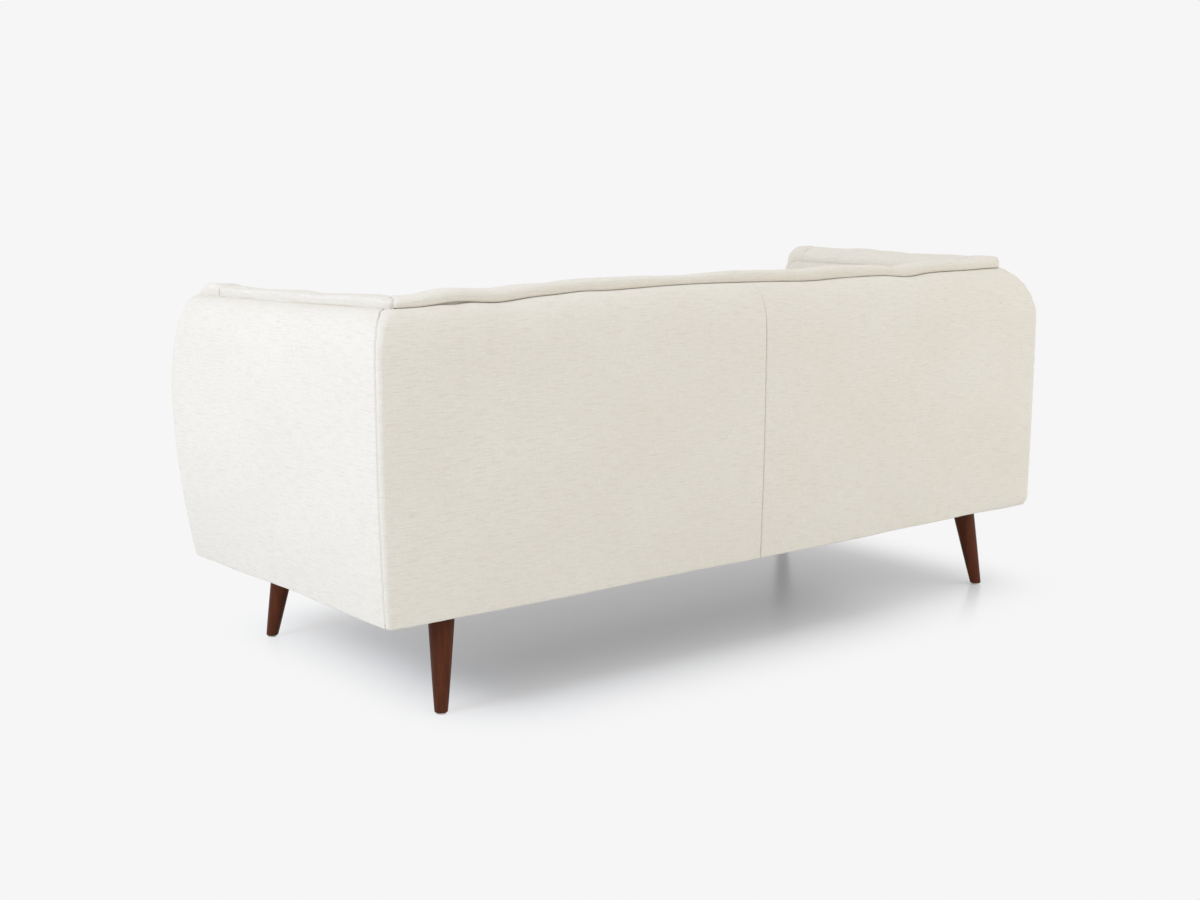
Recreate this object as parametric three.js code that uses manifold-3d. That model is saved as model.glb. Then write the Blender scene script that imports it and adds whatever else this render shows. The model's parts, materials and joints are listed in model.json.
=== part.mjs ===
// A two-seat shelter sofa: a padded shell with a rolled-in rim, boxed inside pads, loose seat cushions
// and four splayed legs. Millimetres, +Z up, the back towards +Y and the seat open towards -Y.
// The origin is on the floor under the middle of the sofa.
import * as THREE from "three";
import { mergeVertices } from "three/addons/utils/BufferGeometryUtils.js";
import Module from "manifold-3d";

const wasm = await Module();
wasm.setup();

// Overall sizes
const DEPTH = 888; // front of the arms to the middle of the back
const REAR_HALF_LENGTH = 975; // middle to the widest place of a rear corner
const TOE_OUT = 38; // the arm fronts stand this much further out
const TOE_OUT_BOTTOM = 10; // and this much at the bottom edge
const LEG_HEIGHT = 200; // floor to the shell's bottom edge
const RIM_HEIGHT = 812; // floor to the gap line under the back's roll
const ARM_DROP = 12; // the rim falls this much along the arms
const WAIST_HEIGHT = 600; // where the shell is widest

// Shell profile
const PANEL = 14; // padded cover with its backing board
const ARM_BOTTOM_DRAW = 8; // the wall draws in this much from the waist to the bottom edge
const BACK_BOTTOM_DRAW = 4;
const FRONT_BOTTOM_DRAW = 17;
const FRONT_LEAN = 62; // the front edge leans back this much from the waist to the rim
const FRONT_LEAN_POWER = 1.5; // more and more towards the rim
const RIM_REACH = 70; // the rim turns in this far
const RIM_RISE = 112; // over this height
const RIM_POWER = 2.4; // 2 is an ellipse, more is squarer
const BACK_CROWN = 9; // the back panel swells this much in the middle
const CORNER_RADIUS = 29;
const CORNER_RADIUS_BOTTOM = 18;
const CORNER_RADIUS_RIM = 3;
const EDGE_CROWN_SHARE = 0.5; // of the crown, at the top and bottom edges

// Clearances
const FIT = 0.4; // between pieces that touch
const SEAM = 0.8; // between two sewn panels
const MITRE = 1.2; // each side of the mitre seam
const MITRE_SHARE = 1.2; // the mitres are cut this far past the pads' depth
const WADDING = 1.6; // between the frame and the panels' boards
const LIFT = 4; // round a loose cushion
const OVERRUN = 40; // of a cutting block past what it cuts

// Frame
const ARM_RAIL = 34;
const BACK_RAIL = 34;
const SEAT_RAIL = 42;
const FRONT_RAIL = 40;
const SEAT_RAIL_HEIGHT = 90;
const POST = 40; // along the rail that carries it
const POST_RISE = 18; // the corner posts stand up beside the rim rails
const RAIL_SETBACK = 34; // an arm's rim rail stops this far behind its front post's face
const TACK_RAIL_HEIGHT = 60;
const TACK_RAIL_RISE = 80; // above the seat rails
const STRETCHER = 32;
const STRETCHER_HEIGHT = 50;
const STRETCHER_ARCH = 22; // its lower edge is cut up to this much
const BLOCK_ALONG = 152; // corner block, along the front or back rail
const BLOCK_ACROSS = 112; // and along the side rail
const BLOCK_HEIGHT = 42;
const BLOCK_CUT = 46; // its inner corner is sawn off by this much

// Legs
const FOOT_SIDE_INSET = 147; // the feet stand this far inside the shell's widest place
const FOOT_REAR_INSET = 57; // this far from the middle of the back
const FOOT_FRONT_INSET = 125; // and this far from the front of the arms
const SPLAY_X = 25; // the top stands in from the foot
const SPLAY_Y = 32;
const LEG_TOP_DIAMETER = 52;
const LEG_FOOT_DIAMETER = 25;
const LEG_CHAMFER = 1.5;
const BOLT_DIAMETER = 8;
const BOLT_IN_LEG = 38;
const NUT_FLANGE = 2;
const NUT_FLANGE_DIAMETER = 22;
const NUT_BARREL = 12; // length
const NUT_BARREL_DIAMETER = 11;
const GLIDE = 3;
const GLIDE_DIAMETER = 20;
const DUST_COVER = 1.2;
const DUST_COVER_MARGIN = 9; // it stops this far inside the shell's hems
const NUT_HOLE_MARGIN = 3;

// Springs, deck and webbing
const SPRING_COUNT = 8;
const SPRING_WIRE = 4;
const SPRING_WIDTH = 46;
const SPRING_WAVE = 82; // about one whole wave
const SPRING_ARCH = 11;
const SPRING_DROP = 17; // the wire's ends lie this far below the rails' tops
const CLIP = 2;
const CLIP_HEIGHT = 26;
const CLIP_LIP = 7;
const DECK = 2.5;
const DECK_MARGIN = 12; // it is tacked this far onto the front rail
const WEB = 2;
const WEB_WIDTH = 52;
const WEB_LAP = 22; // it is tacked this far onto the rails
const WEB_PLACE_SHARE = 0.5; // of the half length
const COVER = 30; // padded cover of the front rail
const COVER_ROUND = 14;

// Inside pads
const ARM_DEPTH = 73; // rim's edge to an arm's inside
const BACK_TOP_DEPTH = 112; // rim's edge to the back pad's top front seam
const BACK_SEAT_DEPTH = 190; // rim's edge to the back pad at the seat
const ROLL = 28; // the roll stands this far above the rim
const ROLL_OVERHANG = 7; // and this far out over the gap line
const ROLL_DIP = 10; // the top front seam lies this far below the roll
const ROLL_BACK = 14; // the roll's centre lies this far inside the rim's edge
const PAD_EDGE = 22; // radius of the pads' inner top edges
const SHOULDER = 8; // the pads step in this far below the panels' edge
const BACK_PAD_CROWN = 12;
const ARM_PAD_CROWN = 5;
const NOSE_RADIUS = 50; // inner front corner of an arm
const NOSE_TOP_RADIUS = 34;
const CAP_TOP_DEPTH = 85; // the arm's front pad, front to back at the rim
const CAP_FOOT_DEPTH = 62; // and at its foot

// Seat cushions
const CUSHION = 148; // thickness at the seams
const CUSHION_CROWN = 20;
const CUSHION_OVERHANG = 11; // past the front rail's cover
const CUSHION_CORNER = 38;
const CUSHION_DRAW = 6; // the seams pull in between the corners
const CUSHION_BULGE = 9; // the sides swell between the seams

// Facet counts
const WALL_ROWS = 7;
const RIM_ROWS = 6;
const ARM_COLUMNS = 8;
const NOSE_COLUMNS = 4;
const BACK_COLUMNS = 9;
const CORNER_COLUMNS = 3;
const BACK_STATIONS = 12;
const ARM_STATIONS = 6;
const PAD_ROWS = 7;
const ROLL_STEPS = 4;
const CUSHION_SIDE_STEPS = 6;
const CUSHION_CORNER_STEPS = 3;
const CUSHION_CROWN_STEPS = 4;
const ROUND_STEPS = 20;
const WAVE_STEPS = 6;
const WIRE_SIDES = 4;
const BEND_SLICES = 6;
const SLOPE_STEP = 0.02; // of a column or row, to read a surface's slope

// Colours and finishes
const finish = (color, roughness, metalness = 0) => ({ color, roughness, metalness });
const IVORY = finish(0xe6e0d2, 0.95);
const HARDWOOD = finish(0xc09a6a, 0.8);
const WALNUT = finish(0x5a2a1c, 0.4);
const STEEL = finish(0x8e8f90, 0.45, 0.9);
const JUTE = finish(0x9c8460, 1);
const DUST_CLOTH = finish(0x2c2825, 1);
const NYLON = finish(0xd8d4cb, 0.6);

const sofa = new THREE.Group();
const mix = (from, to, share) => from + (to - from) * share;
const half = (size) => size / 2;

function add(name, geometry, look, parent = sofa) {
  const mesh = new THREE.Mesh(geometry, new THREE.MeshStandardMaterial(look));
  mesh.name = name;
  parent.add(mesh);
  return mesh;
}

// A closed mesh from its corners and triangles, turned so that its faces point out.
function closed(points, triangles) {
  const volume = triangles.reduce((sum, [a, b, c]) => {
    const across = new THREE.Vector3().crossVectors(points[b], points[c]);
    return sum + points[a].dot(across);
  }, 0);
  const order = volume < 0 ? triangles.map(([a, b, c]) => [a, c, b]) : triangles;
  const geometry = new THREE.BufferGeometry().setFromPoints(points);
  geometry.setIndex(order.flat());
  geometry.computeVertexNormals();
  return geometry;
}

function mirrored(geometry) {
  const copy = geometry.clone();
  copy.scale(-1, 1, 1);
  const index = copy.getIndex().array;
  for (let i = 0; i < index.length; i += 3) {
    [index[i + 1], index[i + 2]] = [index[i + 2], index[i + 1]];
  }
  copy.computeVertexNormals();
  return copy;
}

// Bare vertices and triangles, with coinciding corners merged.
function welded(geometry) {
  const bare = geometry.clone();
  bare.deleteAttribute("normal");
  bare.deleteAttribute("uv");
  return mergeVertices(bare);
}

function solidOf(geometry) {
  const bare = welded(geometry);
  const mesh = { numProp: 3, vertProperties: bare.attributes.position.array };
  mesh.triVerts = new Uint32Array(bare.index.array);
  return new wasm.Manifold(new wasm.Mesh(mesh));
}

function geometryOf(solid) {
  const mesh = solid.getMesh();
  const geometry = new THREE.BufferGeometry();
  geometry.setAttribute("position", new THREE.BufferAttribute(mesh.vertProperties, 3));
  geometry.setIndex(new THREE.BufferAttribute(mesh.triVerts, 1));
  geometry.computeVertexNormals();
  return geometry;
}

const cut = (body, tool) => geometryOf(solidOf(body).subtract(solidOf(tool)));
const joined = (body, other) => geometryOf(solidOf(body).add(solidOf(other)));

// Sections of equal length joined into one body. The outlines, in any plane, say how its ends are filled.
function loft(sections, outline, endOutline = outline) {
  const count = outline.length;
  const triangles = [];
  for (let s = 0; s + 1 < sections.length; s += 1) {
    for (let i = 0; i < count; i += 1) {
      const a = s * count + i;
      const b = s * count + ((i + 1) % count);
      triangles.push([a, b, b + count], [a, b + count, a + count]);
    }
  }
  const last = (sections.length - 1) * count;
  const filled = (end) => {
    const clockwise = THREE.ShapeUtils.isClockWise(end);
    const faces = THREE.ShapeUtils.triangulateShape(end, []);
    return faces.map(([a, b, c]) => (clockwise ? [a, c, b] : [a, b, c]));
  };
  for (const [a, b, c] of filled(outline)) triangles.push([a, c, b]);
  for (const [a, b, c] of filled(endOutline)) triangles.push([last + a, last + b, last + c]);
  return closed(sections.flat(), triangles);
}

// A panel of even thickness behind a surface, given as a function of column and row.
function slab(surface, columns, rows, thickness) {
  const outer = [];
  const inner = [];
  const inside = (value, end) => Math.min(end - 2 * SLOPE_STEP, Math.max(SLOPE_STEP, value));
  for (let i = 0; i <= columns; i += 1) {
    for (let j = 0; j <= rows; j += 1) {
      const u = inside(i, columns);
      const v = inside(j, rows);
      const along = surface(u + SLOPE_STEP, v).sub(surface(u - SLOPE_STEP, v));
      const up = surface(u, v + SLOPE_STEP).sub(surface(u, v - SLOPE_STEP));
      const normal = along.cross(up).normalize();
      const point = surface(i, j);
      outer.push(point);
      inner.push(point.clone().addScaledVector(normal, -thickness));
    }
  }
  const back = outer.length;
  const at = (i, j) => i * (rows + 1) + j;
  const triangles = [];
  const quad = (a, b, c, d) => triangles.push([a, b, c], [a, c, d]);
  for (let i = 0; i < columns; i += 1) {
    for (let j = 0; j < rows; j += 1) {
      quad(at(i, j), at(i + 1, j), at(i + 1, j + 1), at(i, j + 1));
      quad(back + at(i, j), back + at(i, j + 1), back + at(i + 1, j + 1), back + at(i + 1, j));
    }
    quad(at(i, 0), back + at(i, 0), back + at(i + 1, 0), at(i + 1, 0));
    quad(at(i, rows), at(i + 1, rows), back + at(i + 1, rows), back + at(i, rows));
  }
  for (let j = 0; j < rows; j += 1) {
    quad(at(0, j), at(0, j + 1), back + at(0, j + 1), back + at(0, j));
    quad(at(columns, j), back + at(columns, j), back + at(columns, j + 1), at(columns, j + 1));
  }
  return closed([...outer, ...inner], triangles);
}

// The shell's upright profile: height, how far the rim has turned in, and how far the wall has drawn in.
const RIM_START = RIM_HEIGHT - RIM_RISE;
const PROFILE_ROWS = WALL_ROWS + RIM_ROWS;

function drawAt(height) {
  const below = Math.max(0, WAIST_HEIGHT - height) / (WAIST_HEIGHT - LEG_HEIGHT);
  return Math.min(1, below) ** 2;
}

function profileRow(row) {
  if (row <= WALL_ROWS) {
    const height = mix(LEG_HEIGHT, RIM_START, row / WALL_ROWS);
    return { height, rim: 0, draw: drawAt(height) };
  }
  const turn = (((row - WALL_ROWS) / RIM_ROWS) * Math.PI) / 2;
  const left = Math.max(0, Math.cos(turn)) ** (2 / RIM_POWER);
  const height = RIM_START + RIM_RISE * Math.sin(turn) ** (2 / RIM_POWER);
  return { height, rim: 1 - left, draw: 0 };
}

// A level of the profile at a height, for pieces that lie inside the rim.
function profileAt(height) {
  const rise = Math.min(1, Math.max(0, (height - RIM_START) / RIM_RISE));
  const rim = 1 - (1 - rise ** RIM_POWER) ** (1 / RIM_POWER);
  return { height, rim, draw: drawAt(height) };
}

const BACK_WALL = half(DEPTH) - BACK_CROWN;
const armWall = ({ rim, draw }) => REAR_HALF_LENGTH - RIM_REACH * rim - ARM_BOTTOM_DRAW * draw;
const backWall = ({ rim, draw }) => BACK_WALL - RIM_REACH * rim - BACK_BOTTOM_DRAW * draw;
const cornerRadius = ({ rim, draw }) =>
  mix(mix(CORNER_RADIUS, CORNER_RADIUS_BOTTOM, draw), CORNER_RADIUS_RIM, rim);
const seamY = (level) => backWall(level) - cornerRadius(level);

// The front edge of an arm draws in from the waist downwards and leans back above it.
function frontY({ height, draw }) {
  const rise = Math.max(0, height - WAIST_HEIGHT) / (RIM_HEIGHT - WAIST_HEIGHT);
  return -half(DEPTH) + FRONT_BOTTOM_DRAW * draw + FRONT_LEAN * rise ** FRONT_LEAN_POWER;
}

// The rim's edge, where the gap line runs.
const RIM_X = REAR_HALF_LENGTH - RIM_REACH;
const RIM_Y = BACK_WALL - RIM_REACH;
const INNER_HALF = RIM_X - ARM_DEPTH;
const CAP_IN = INNER_HALF + ARM_PAD_CROWN;

// Everything is drawn square, then spread towards the front as the arms toe out. What belongs to the
// arms is also let down towards the front, from the seat deck upwards.
const RAIL_TOP = LEG_HEIGHT + SEAT_RAIL_HEIGHT;
const PAD_BOTTOM = RAIL_TOP + DECK + 2 * FIT;
const SPLAY_START = BACK_WALL - CORNER_RADIUS;
const splayShare = (y) => Math.max(0, (SPLAY_START - y) / (SPLAY_START + half(DEPTH)));
const toeAt = (y, height) => mix(TOE_OUT, TOE_OUT_BOTTOM, drawAt(height)) * splayShare(y);
const dropAt = (y, height) =>
  (ARM_DROP * splayShare(y) * Math.max(0, height - PAD_BOTTOM)) / (RIM_HEIGHT - PAD_BOTTOM);

function moved(geometry, move) {
  const place = geometry.getAttribute("position");
  const point = new THREE.Vector3();
  for (let i = 0; i < place.count; i += 1) {
    const { x, y, z } = move(point.fromBufferAttribute(place, i));
    place.setXYZ(i, x, y, z);
  }
  geometry.computeVertexNormals();
  return geometry;
}

const toed = (geometry) =>
  moved(geometry, ({ x, y, z }) => ({ x: x * (1 + toeAt(y, z) / RIM_X), y, z }));

// The seat frame is straight timber, toed out as far as the bottom edge is.
const toedBase = (geometry) =>
  moved(geometry, ({ x, y, z }) => ({ x: x * (1 + toeAt(y, LEG_HEIGHT) / RIM_X), y, z }));
const splayed = (geometry) =>
  moved(toed(geometry), ({ x, y, z }) => ({ x, y, z: z - dropAt(y, z) }));

function addPair(name, geometry, look) {
  add(name + "_left", mirrored(geometry), look);
  add(name + "_right", geometry, look);
}

// A round rod standing upright.
function rod(diameter, low, high, { x, y }) {
  const radius = half(diameter);
  const geometry = new THREE.CylinderGeometry(radius, radius, high - low, ROUND_STEPS);
  geometry.rotateX(half(Math.PI));
  geometry.translate(x, y, half(low + high));
  return welded(geometry);
}

// A straight bar between two corners, sliced across its height so that it can be bent.
function bar(low, high, slices = 1) {
  const size = high.map((value, i) => value - low[i]);
  const geometry = new THREE.BoxGeometry(...size, 1, 1, slices);
  geometry.translate(...low.map((value, i) => half(value + high[i])));
  return welded(geometry);
}

// A flat outline in the YZ plane, drawn out along X between two places.
function drawnAlongX(outline, from, to) {
  const ends = [from, to];
  const sections = ends.map((x) => outline.map(({ x: y, y: z }) => new THREE.Vector3(x, y, z)));
  return loft(sections, outline);
}

// An outline in plan, drawn out upwards.
function drawnUp(outline, low, high) {
  const sections = [low, high].map((z) => outline.map(({ x, y }) => new THREE.Vector3(x, y, z)));
  return loft(sections, outline);
}

// Outside back: two padded panels that meet at the centre seam and wrap the rear corners.
function outsideBack() {
  const columns = BACK_COLUMNS + CORNER_COLUMNS;
  const surface = (column, row) => {
    const level = profileRow(row);
    const radius = cornerRadius(level);
    const across = Math.max(0, 1 - Math.max(0, column - CORNER_COLUMNS) / BACK_COLUMNS);
    const edge = Math.max(level.draw, level.rim);
    const crown = BACK_CROWN * mix(1, EDGE_CROWN_SHARE, edge) * (1 - across ** 2);
    const turn = Math.max(0, 1 - column / CORNER_COLUMNS) * half(Math.PI);
    const x = mix(half(SEAM), armWall(level) - radius, across) + radius * Math.sin(turn);
    const y = backWall(level) + crown - radius * (1 - Math.cos(turn));
    return new THREE.Vector3(x, y, level.height);
  };
  return slab(surface, columns, PROFILE_ROWS, PANEL);
}

// Outside arm: from the corner seam to the front, where it wraps round as far as the rim turns in.
function outsideArm() {
  const columns = ARM_COLUMNS + NOSE_COLUMNS;
  const surface = (column, row) => {
    const level = profileRow(row);
    const wall = armWall(level);
    const radius = Math.max(wall - RIM_X, FIT);
    const along = Math.max(0, column - NOSE_COLUMNS) / ARM_COLUMNS;
    const turn = Math.max(0, 1 - column / NOSE_COLUMNS) * half(Math.PI);
    const x = wall - radius * (1 - Math.cos(turn));
    const y = mix(frontY(level) + radius, seamY(level) - SEAM, along) - radius * Math.sin(turn);
    return new THREE.Vector3(x, y, level.height);
  };
  return slab(surface, columns, PROFILE_ROWS, PANEL);
}

addPair("outside_back", splayed(outsideBack()), IVORY);
addPair("outside_arm", splayed(outsideArm()), IVORY);

// Frame: seat rails, posts and rim rails, in hardwood.
const FRAME_SIDE = REAR_HALF_LENGTH - ARM_BOTTOM_DRAW - PANEL - WADDING;
const FRAME_BACK = BACK_WALL - BACK_BOTTOM_DRAW - PANEL - WADDING;
const FRAME_FRONT = frontY(profileAt(LEG_HEIGHT)) + CAP_FOOT_DEPTH;
const SIDE_RAIL_IN = FRAME_SIDE - SEAT_RAIL;
const BACK_RAIL_IN = FRAME_BACK - SEAT_RAIL;
const FRONT_RAIL_IN = FRAME_FRONT + FRONT_RAIL;
const POST_IN = FRAME_SIDE - ARM_RAIL;
const UPRIGHT_IN = FRAME_BACK - BACK_RAIL;

function seatFrame() {
  const low = LEG_HEIGHT;
  const reach = POST_IN - FIT;
  const front = bar([-reach, FRAME_FRONT, low], [reach, FRONT_RAIL_IN, RAIL_TOP]);
  add("seat_rail_front", toedBase(front), HARDWOOD);
  const back = bar([-FRAME_SIDE, BACK_RAIL_IN, low], [FRAME_SIDE, FRAME_BACK, RAIL_TOP]);
  add("seat_rail_back", toedBase(back), HARDWOOD);
  const sideLow = [SIDE_RAIL_IN, FRONT_RAIL_IN + FIT, low];
  const side = bar(sideLow, [FRAME_SIDE, BACK_RAIL_IN - FIT, RAIL_TOP]);
  addPair("seat_rail", toedBase(side), HARDWOOD);
}

// The stretcher under the springs, its lower edge cut to a flat arch.
function stretcher() {
  const shape = new THREE.Shape();
  const front = FRONT_RAIL_IN + FIT;
  const back = BACK_RAIL_IN - FIT;
  shape.moveTo(front, LEG_HEIGHT);
  shape.quadraticCurveTo(half(front + back), LEG_HEIGHT + 2 * STRETCHER_ARCH, back, LEG_HEIGHT);
  shape.lineTo(back, LEG_HEIGHT + STRETCHER_HEIGHT);
  shape.lineTo(front, LEG_HEIGHT + STRETCHER_HEIGHT);
  return drawnAlongX(shape.getPoints(BEND_SLICES), -half(STRETCHER), half(STRETCHER));
}

// The rim rails' section, measured out from the rim's edge: their outer faces carry the panels' boards.
function rimRailSection(inner) {
  const points = [new THREE.Vector2(inner, RIM_START)];
  for (let row = 0; row <= RIM_ROWS - 2; row += 1) {
    const at = (step) => {
      const level = profileRow(WALL_ROWS + row + step);
      return new THREE.Vector2(RIM_REACH * (1 - level.rim), level.height);
    };
    const slope = at(SLOPE_STEP).sub(at(0)).normalize();
    const inward = new THREE.Vector2(-slope.y, slope.x);
    points.push(at(0).addScaledVector(inward, PANEL + FIT));
  }
  points.push(new THREE.Vector2(inner, points[points.length - 1].y));
  return points;
}

function rimRails() {
  const backSection = rimRailSection(UPRIGHT_IN - RIM_Y);
  const place = backSection.map(({ x, y }) => new THREE.Vector2(RIM_Y + x, y));
  const reach = POST_IN - FIT;
  add("back_rim_rail", splayed(drawnAlongX(place, -reach, reach)), HARDWOOD);
  const armSection = rimRailSection(POST_IN - RIM_X);
  const ends = [FRAME_FRONT + RAIL_SETBACK, FRAME_BACK - POST - FIT];
  const sections = ends.map((y) => armSection.map((p) => new THREE.Vector3(RIM_X + p.x, y, p.y)));
  addPair("arm_rim_rail", splayed(loft(sections, armSection)), HARDWOOD);
}

// The uprights, and the tack rail that is halved into the centre post.
const TACK_LOW = RAIL_TOP + TACK_RAIL_RISE;
const TACK_HIGH = TACK_LOW + TACK_RAIL_HEIGHT;

function uprights() {
  const cornerLow = [POST_IN, FRAME_BACK - POST, RAIL_TOP + FIT];
  const corner = bar(cornerLow, [FRAME_SIDE, FRAME_BACK, RIM_START + POST_RISE], BEND_SLICES);
  addPair("corner_post", splayed(corner), HARDWOOD);
  const frontHigh = [FRAME_SIDE, FRAME_FRONT + POST, RIM_START - FIT];
  const front = bar([POST_IN, FRAME_FRONT, LEG_HEIGHT], frontHigh, BEND_SLICES);
  addPair("arm_front_post", splayed(front), HARDWOOD);

  const reach = POST_IN - FIT;
  const wide = half(POST);
  const halving = half(UPRIGHT_IN + FRAME_BACK);
  const post = bar([-wide, UPRIGHT_IN, RAIL_TOP + FIT], [wide, FRAME_BACK, RIM_START - FIT]);
  const tack = bar([-reach, UPRIGHT_IN, TACK_LOW], [reach, FRAME_BACK, TACK_HIGH]);
  const postNotch = bar(
    [-POST, UPRIGHT_IN - OVERRUN, TACK_LOW - FIT],
    [POST, halving + FIT, TACK_HIGH + FIT],
  );
  const tackNotch = bar(
    [-wide - FIT, halving, TACK_LOW - OVERRUN],
    [wide + FIT, FRAME_BACK + OVERRUN, TACK_HIGH + OVERRUN],
  );
  add("back_centre_post", splayed(cut(post, postNotch)), HARDWOOD);
  add("back_tack_rail", splayed(cut(tack, tackNotch)), HARDWOOD);
}

seatFrame();
add("seat_stretcher", toedBase(stretcher()), HARDWOOD);
rimRails();
uprights();

// Legs: each is screwed to a corner block by a double-ended bolt and a flanged nut.
const LEG_TOP = LEG_HEIGHT - NUT_FLANGE - 2 * FIT;
const FOOT_X = REAR_HALF_LENGTH - FOOT_SIDE_INSET;
const FOOT_REAR_Y = half(DEPTH) - FOOT_REAR_INSET;
const FOOT_FRONT_Y = FOOT_FRONT_INSET - half(DEPTH);

// A corner block: square on the two rails, its free corner sawn off, bored through for the nut.
function cornerBlock(cornerX, cornerY, inwardY, bolt) {
  const far = cornerX - BLOCK_ALONG;
  const deep = cornerY + inwardY * BLOCK_ACROSS;
  const outline = [
    new THREE.Vector2(cornerX, cornerY),
    new THREE.Vector2(far, cornerY),
    new THREE.Vector2(far, deep - inwardY * BLOCK_CUT),
    new THREE.Vector2(far + BLOCK_CUT, deep),
    new THREE.Vector2(cornerX, deep),
  ];
  const top = LEG_HEIGHT + BLOCK_HEIGHT;
  const bore = rod(NUT_BARREL_DIAMETER + 2 * FIT, LEG_HEIGHT - OVERRUN, top + OVERRUN, bolt);
  return cut(toedBase(drawnUp(outline, LEG_HEIGHT, top)), bore);
}

function ring(diameter, { x, y }, height) {
  const points = [];
  for (let step = 0; step < ROUND_STEPS; step += 1) {
    const turn = (2 * Math.PI * step) / ROUND_STEPS;
    const side = half(diameter) * Math.cos(turn);
    points.push(new THREE.Vector3(x + side, y + half(diameter) * Math.sin(turn), height));
  }
  return points;
}

// A turned leg: a straight taper on a leaning axis, cut level at both ends.
function leg(foot, top) {
  const low = GLIDE + FIT;
  const levels = [
    [low, -2 * LEG_CHAMFER],
    [low + LEG_CHAMFER, 0],
    [LEG_TOP, 0],
  ];
  const sections = levels.map(([height, extra]) => {
    const share = height / LEG_TOP;
    const diameter = mix(LEG_FOOT_DIAMETER, LEG_TOP_DIAMETER, share) + extra;
    return ring(diameter, new THREE.Vector2().lerpVectors(foot, top, share), height);
  });
  const body = loft(sections, ring(LEG_TOP_DIAMETER, foot, 0));
  const hole = rod(BOLT_DIAMETER + 2 * FIT, LEG_TOP - BOLT_IN_LEG - FIT, LEG_TOP + OVERRUN, top);
  return cut(body, hole);
}

function nut(top) {
  const low = LEG_HEIGHT - FIT - NUT_FLANGE;
  const flange = rod(NUT_FLANGE_DIAMETER, low, low + NUT_FLANGE, top);
  const barrel = rod(NUT_BARREL_DIAMETER, low, low + NUT_FLANGE + NUT_BARREL, top);
  const bore = rod(BOLT_DIAMETER + 2 * FIT, low - OVERRUN, low + OVERRUN, top);
  return cut(joined(flange, barrel), bore);
}

function legSet(place, footY, cornerY, inwardY) {
  const foot = new THREE.Vector2(FOOT_X, footY);
  const top = new THREE.Vector2(FOOT_X - SPLAY_X, footY + inwardY * SPLAY_Y);
  const boltTop = LEG_HEIGHT + NUT_BARREL + BOLT_DIAMETER;
  const block = cornerBlock(SIDE_RAIL_IN - FIT, cornerY + inwardY * FIT, inwardY, top);
  addPair("corner_block_" + place, block, HARDWOOD);
  addPair("leg_" + place, leg(foot, top), WALNUT);
  addPair("leg_nut_" + place, nut(top), STEEL);
  addPair("leg_bolt_" + place, rod(BOLT_DIAMETER, LEG_TOP - BOLT_IN_LEG, boltTop, top), STEEL);
  addPair("glide_" + place, rod(GLIDE_DIAMETER, 0, GLIDE, foot), NYLON);
  return top;
}

const legTops = [
  legSet("front", FOOT_FRONT_Y, FRONT_RAIL_IN, 1),
  legSet("rear", FOOT_REAR_Y, BACK_RAIL_IN, -1),
];

// The dust cover under the frame and the shell's hems, with a hole round each nut. Its right-hand edge
// follows the arm's front round to the front rail's cover.
function dustCoverEdge() {
  const foot = profileAt(LEG_HEIGHT);
  const front = frontY(foot) + DUST_COVER_MARGIN;
  const wrap = armWall(foot) - DUST_COVER_MARGIN - RIM_X;
  const nose = NOSE_RADIUS - DUST_COVER_MARGIN;
  const inner = CAP_IN + DUST_COVER_MARGIN;
  const railFront = FRAME_FRONT - FIT - COVER + DUST_COVER_MARGIN;
  const points = [new THREE.Vector2(RIM_X + wrap, backWall(foot) - DUST_COVER_MARGIN)];
  for (let step = 0; step <= ROLL_STEPS; step += 1) {
    const turn = (step / ROLL_STEPS) * half(Math.PI);
    const y = front + wrap * (1 - Math.sin(turn));
    points.push(new THREE.Vector2(RIM_X + wrap * Math.cos(turn), y));
  }
  for (let step = 0; step <= ROLL_STEPS; step += 1) {
    const turn = (step / ROLL_STEPS) * half(Math.PI);
    const y = Math.min(railFront, front + nose * (1 - Math.cos(turn)));
    points.push(new THREE.Vector2(inner + nose * (1 - Math.sin(turn)), y));
  }
  return points;
}

function dustCover() {
  const low = LEG_HEIGHT - FIT - DUST_COVER;
  const edge = dustCoverEdge();
  const other = edge.map(({ x, y }) => new THREE.Vector2(-x, y)).reverse();
  const sheet = toedBase(drawnUp([...edge, ...other], low, low + DUST_COVER));
  const diameter = NUT_FLANGE_DIAMETER + 2 * NUT_HOLE_MARGIN;
  return legTops.reduce((cloth, top) => {
    const hole = rod(diameter, low - OVERRUN, low + OVERRUN, top);
    return cut(cut(cloth, hole), mirrored(hole));
  }, sheet);
}

add("dust_cover", dustCover(), DUST_CLOTH);

// Seat suspension: wave springs held in two clip strips, with a deck cloth over them.
const SPRING_LEVEL = RAIL_TOP - SPRING_DROP;

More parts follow.
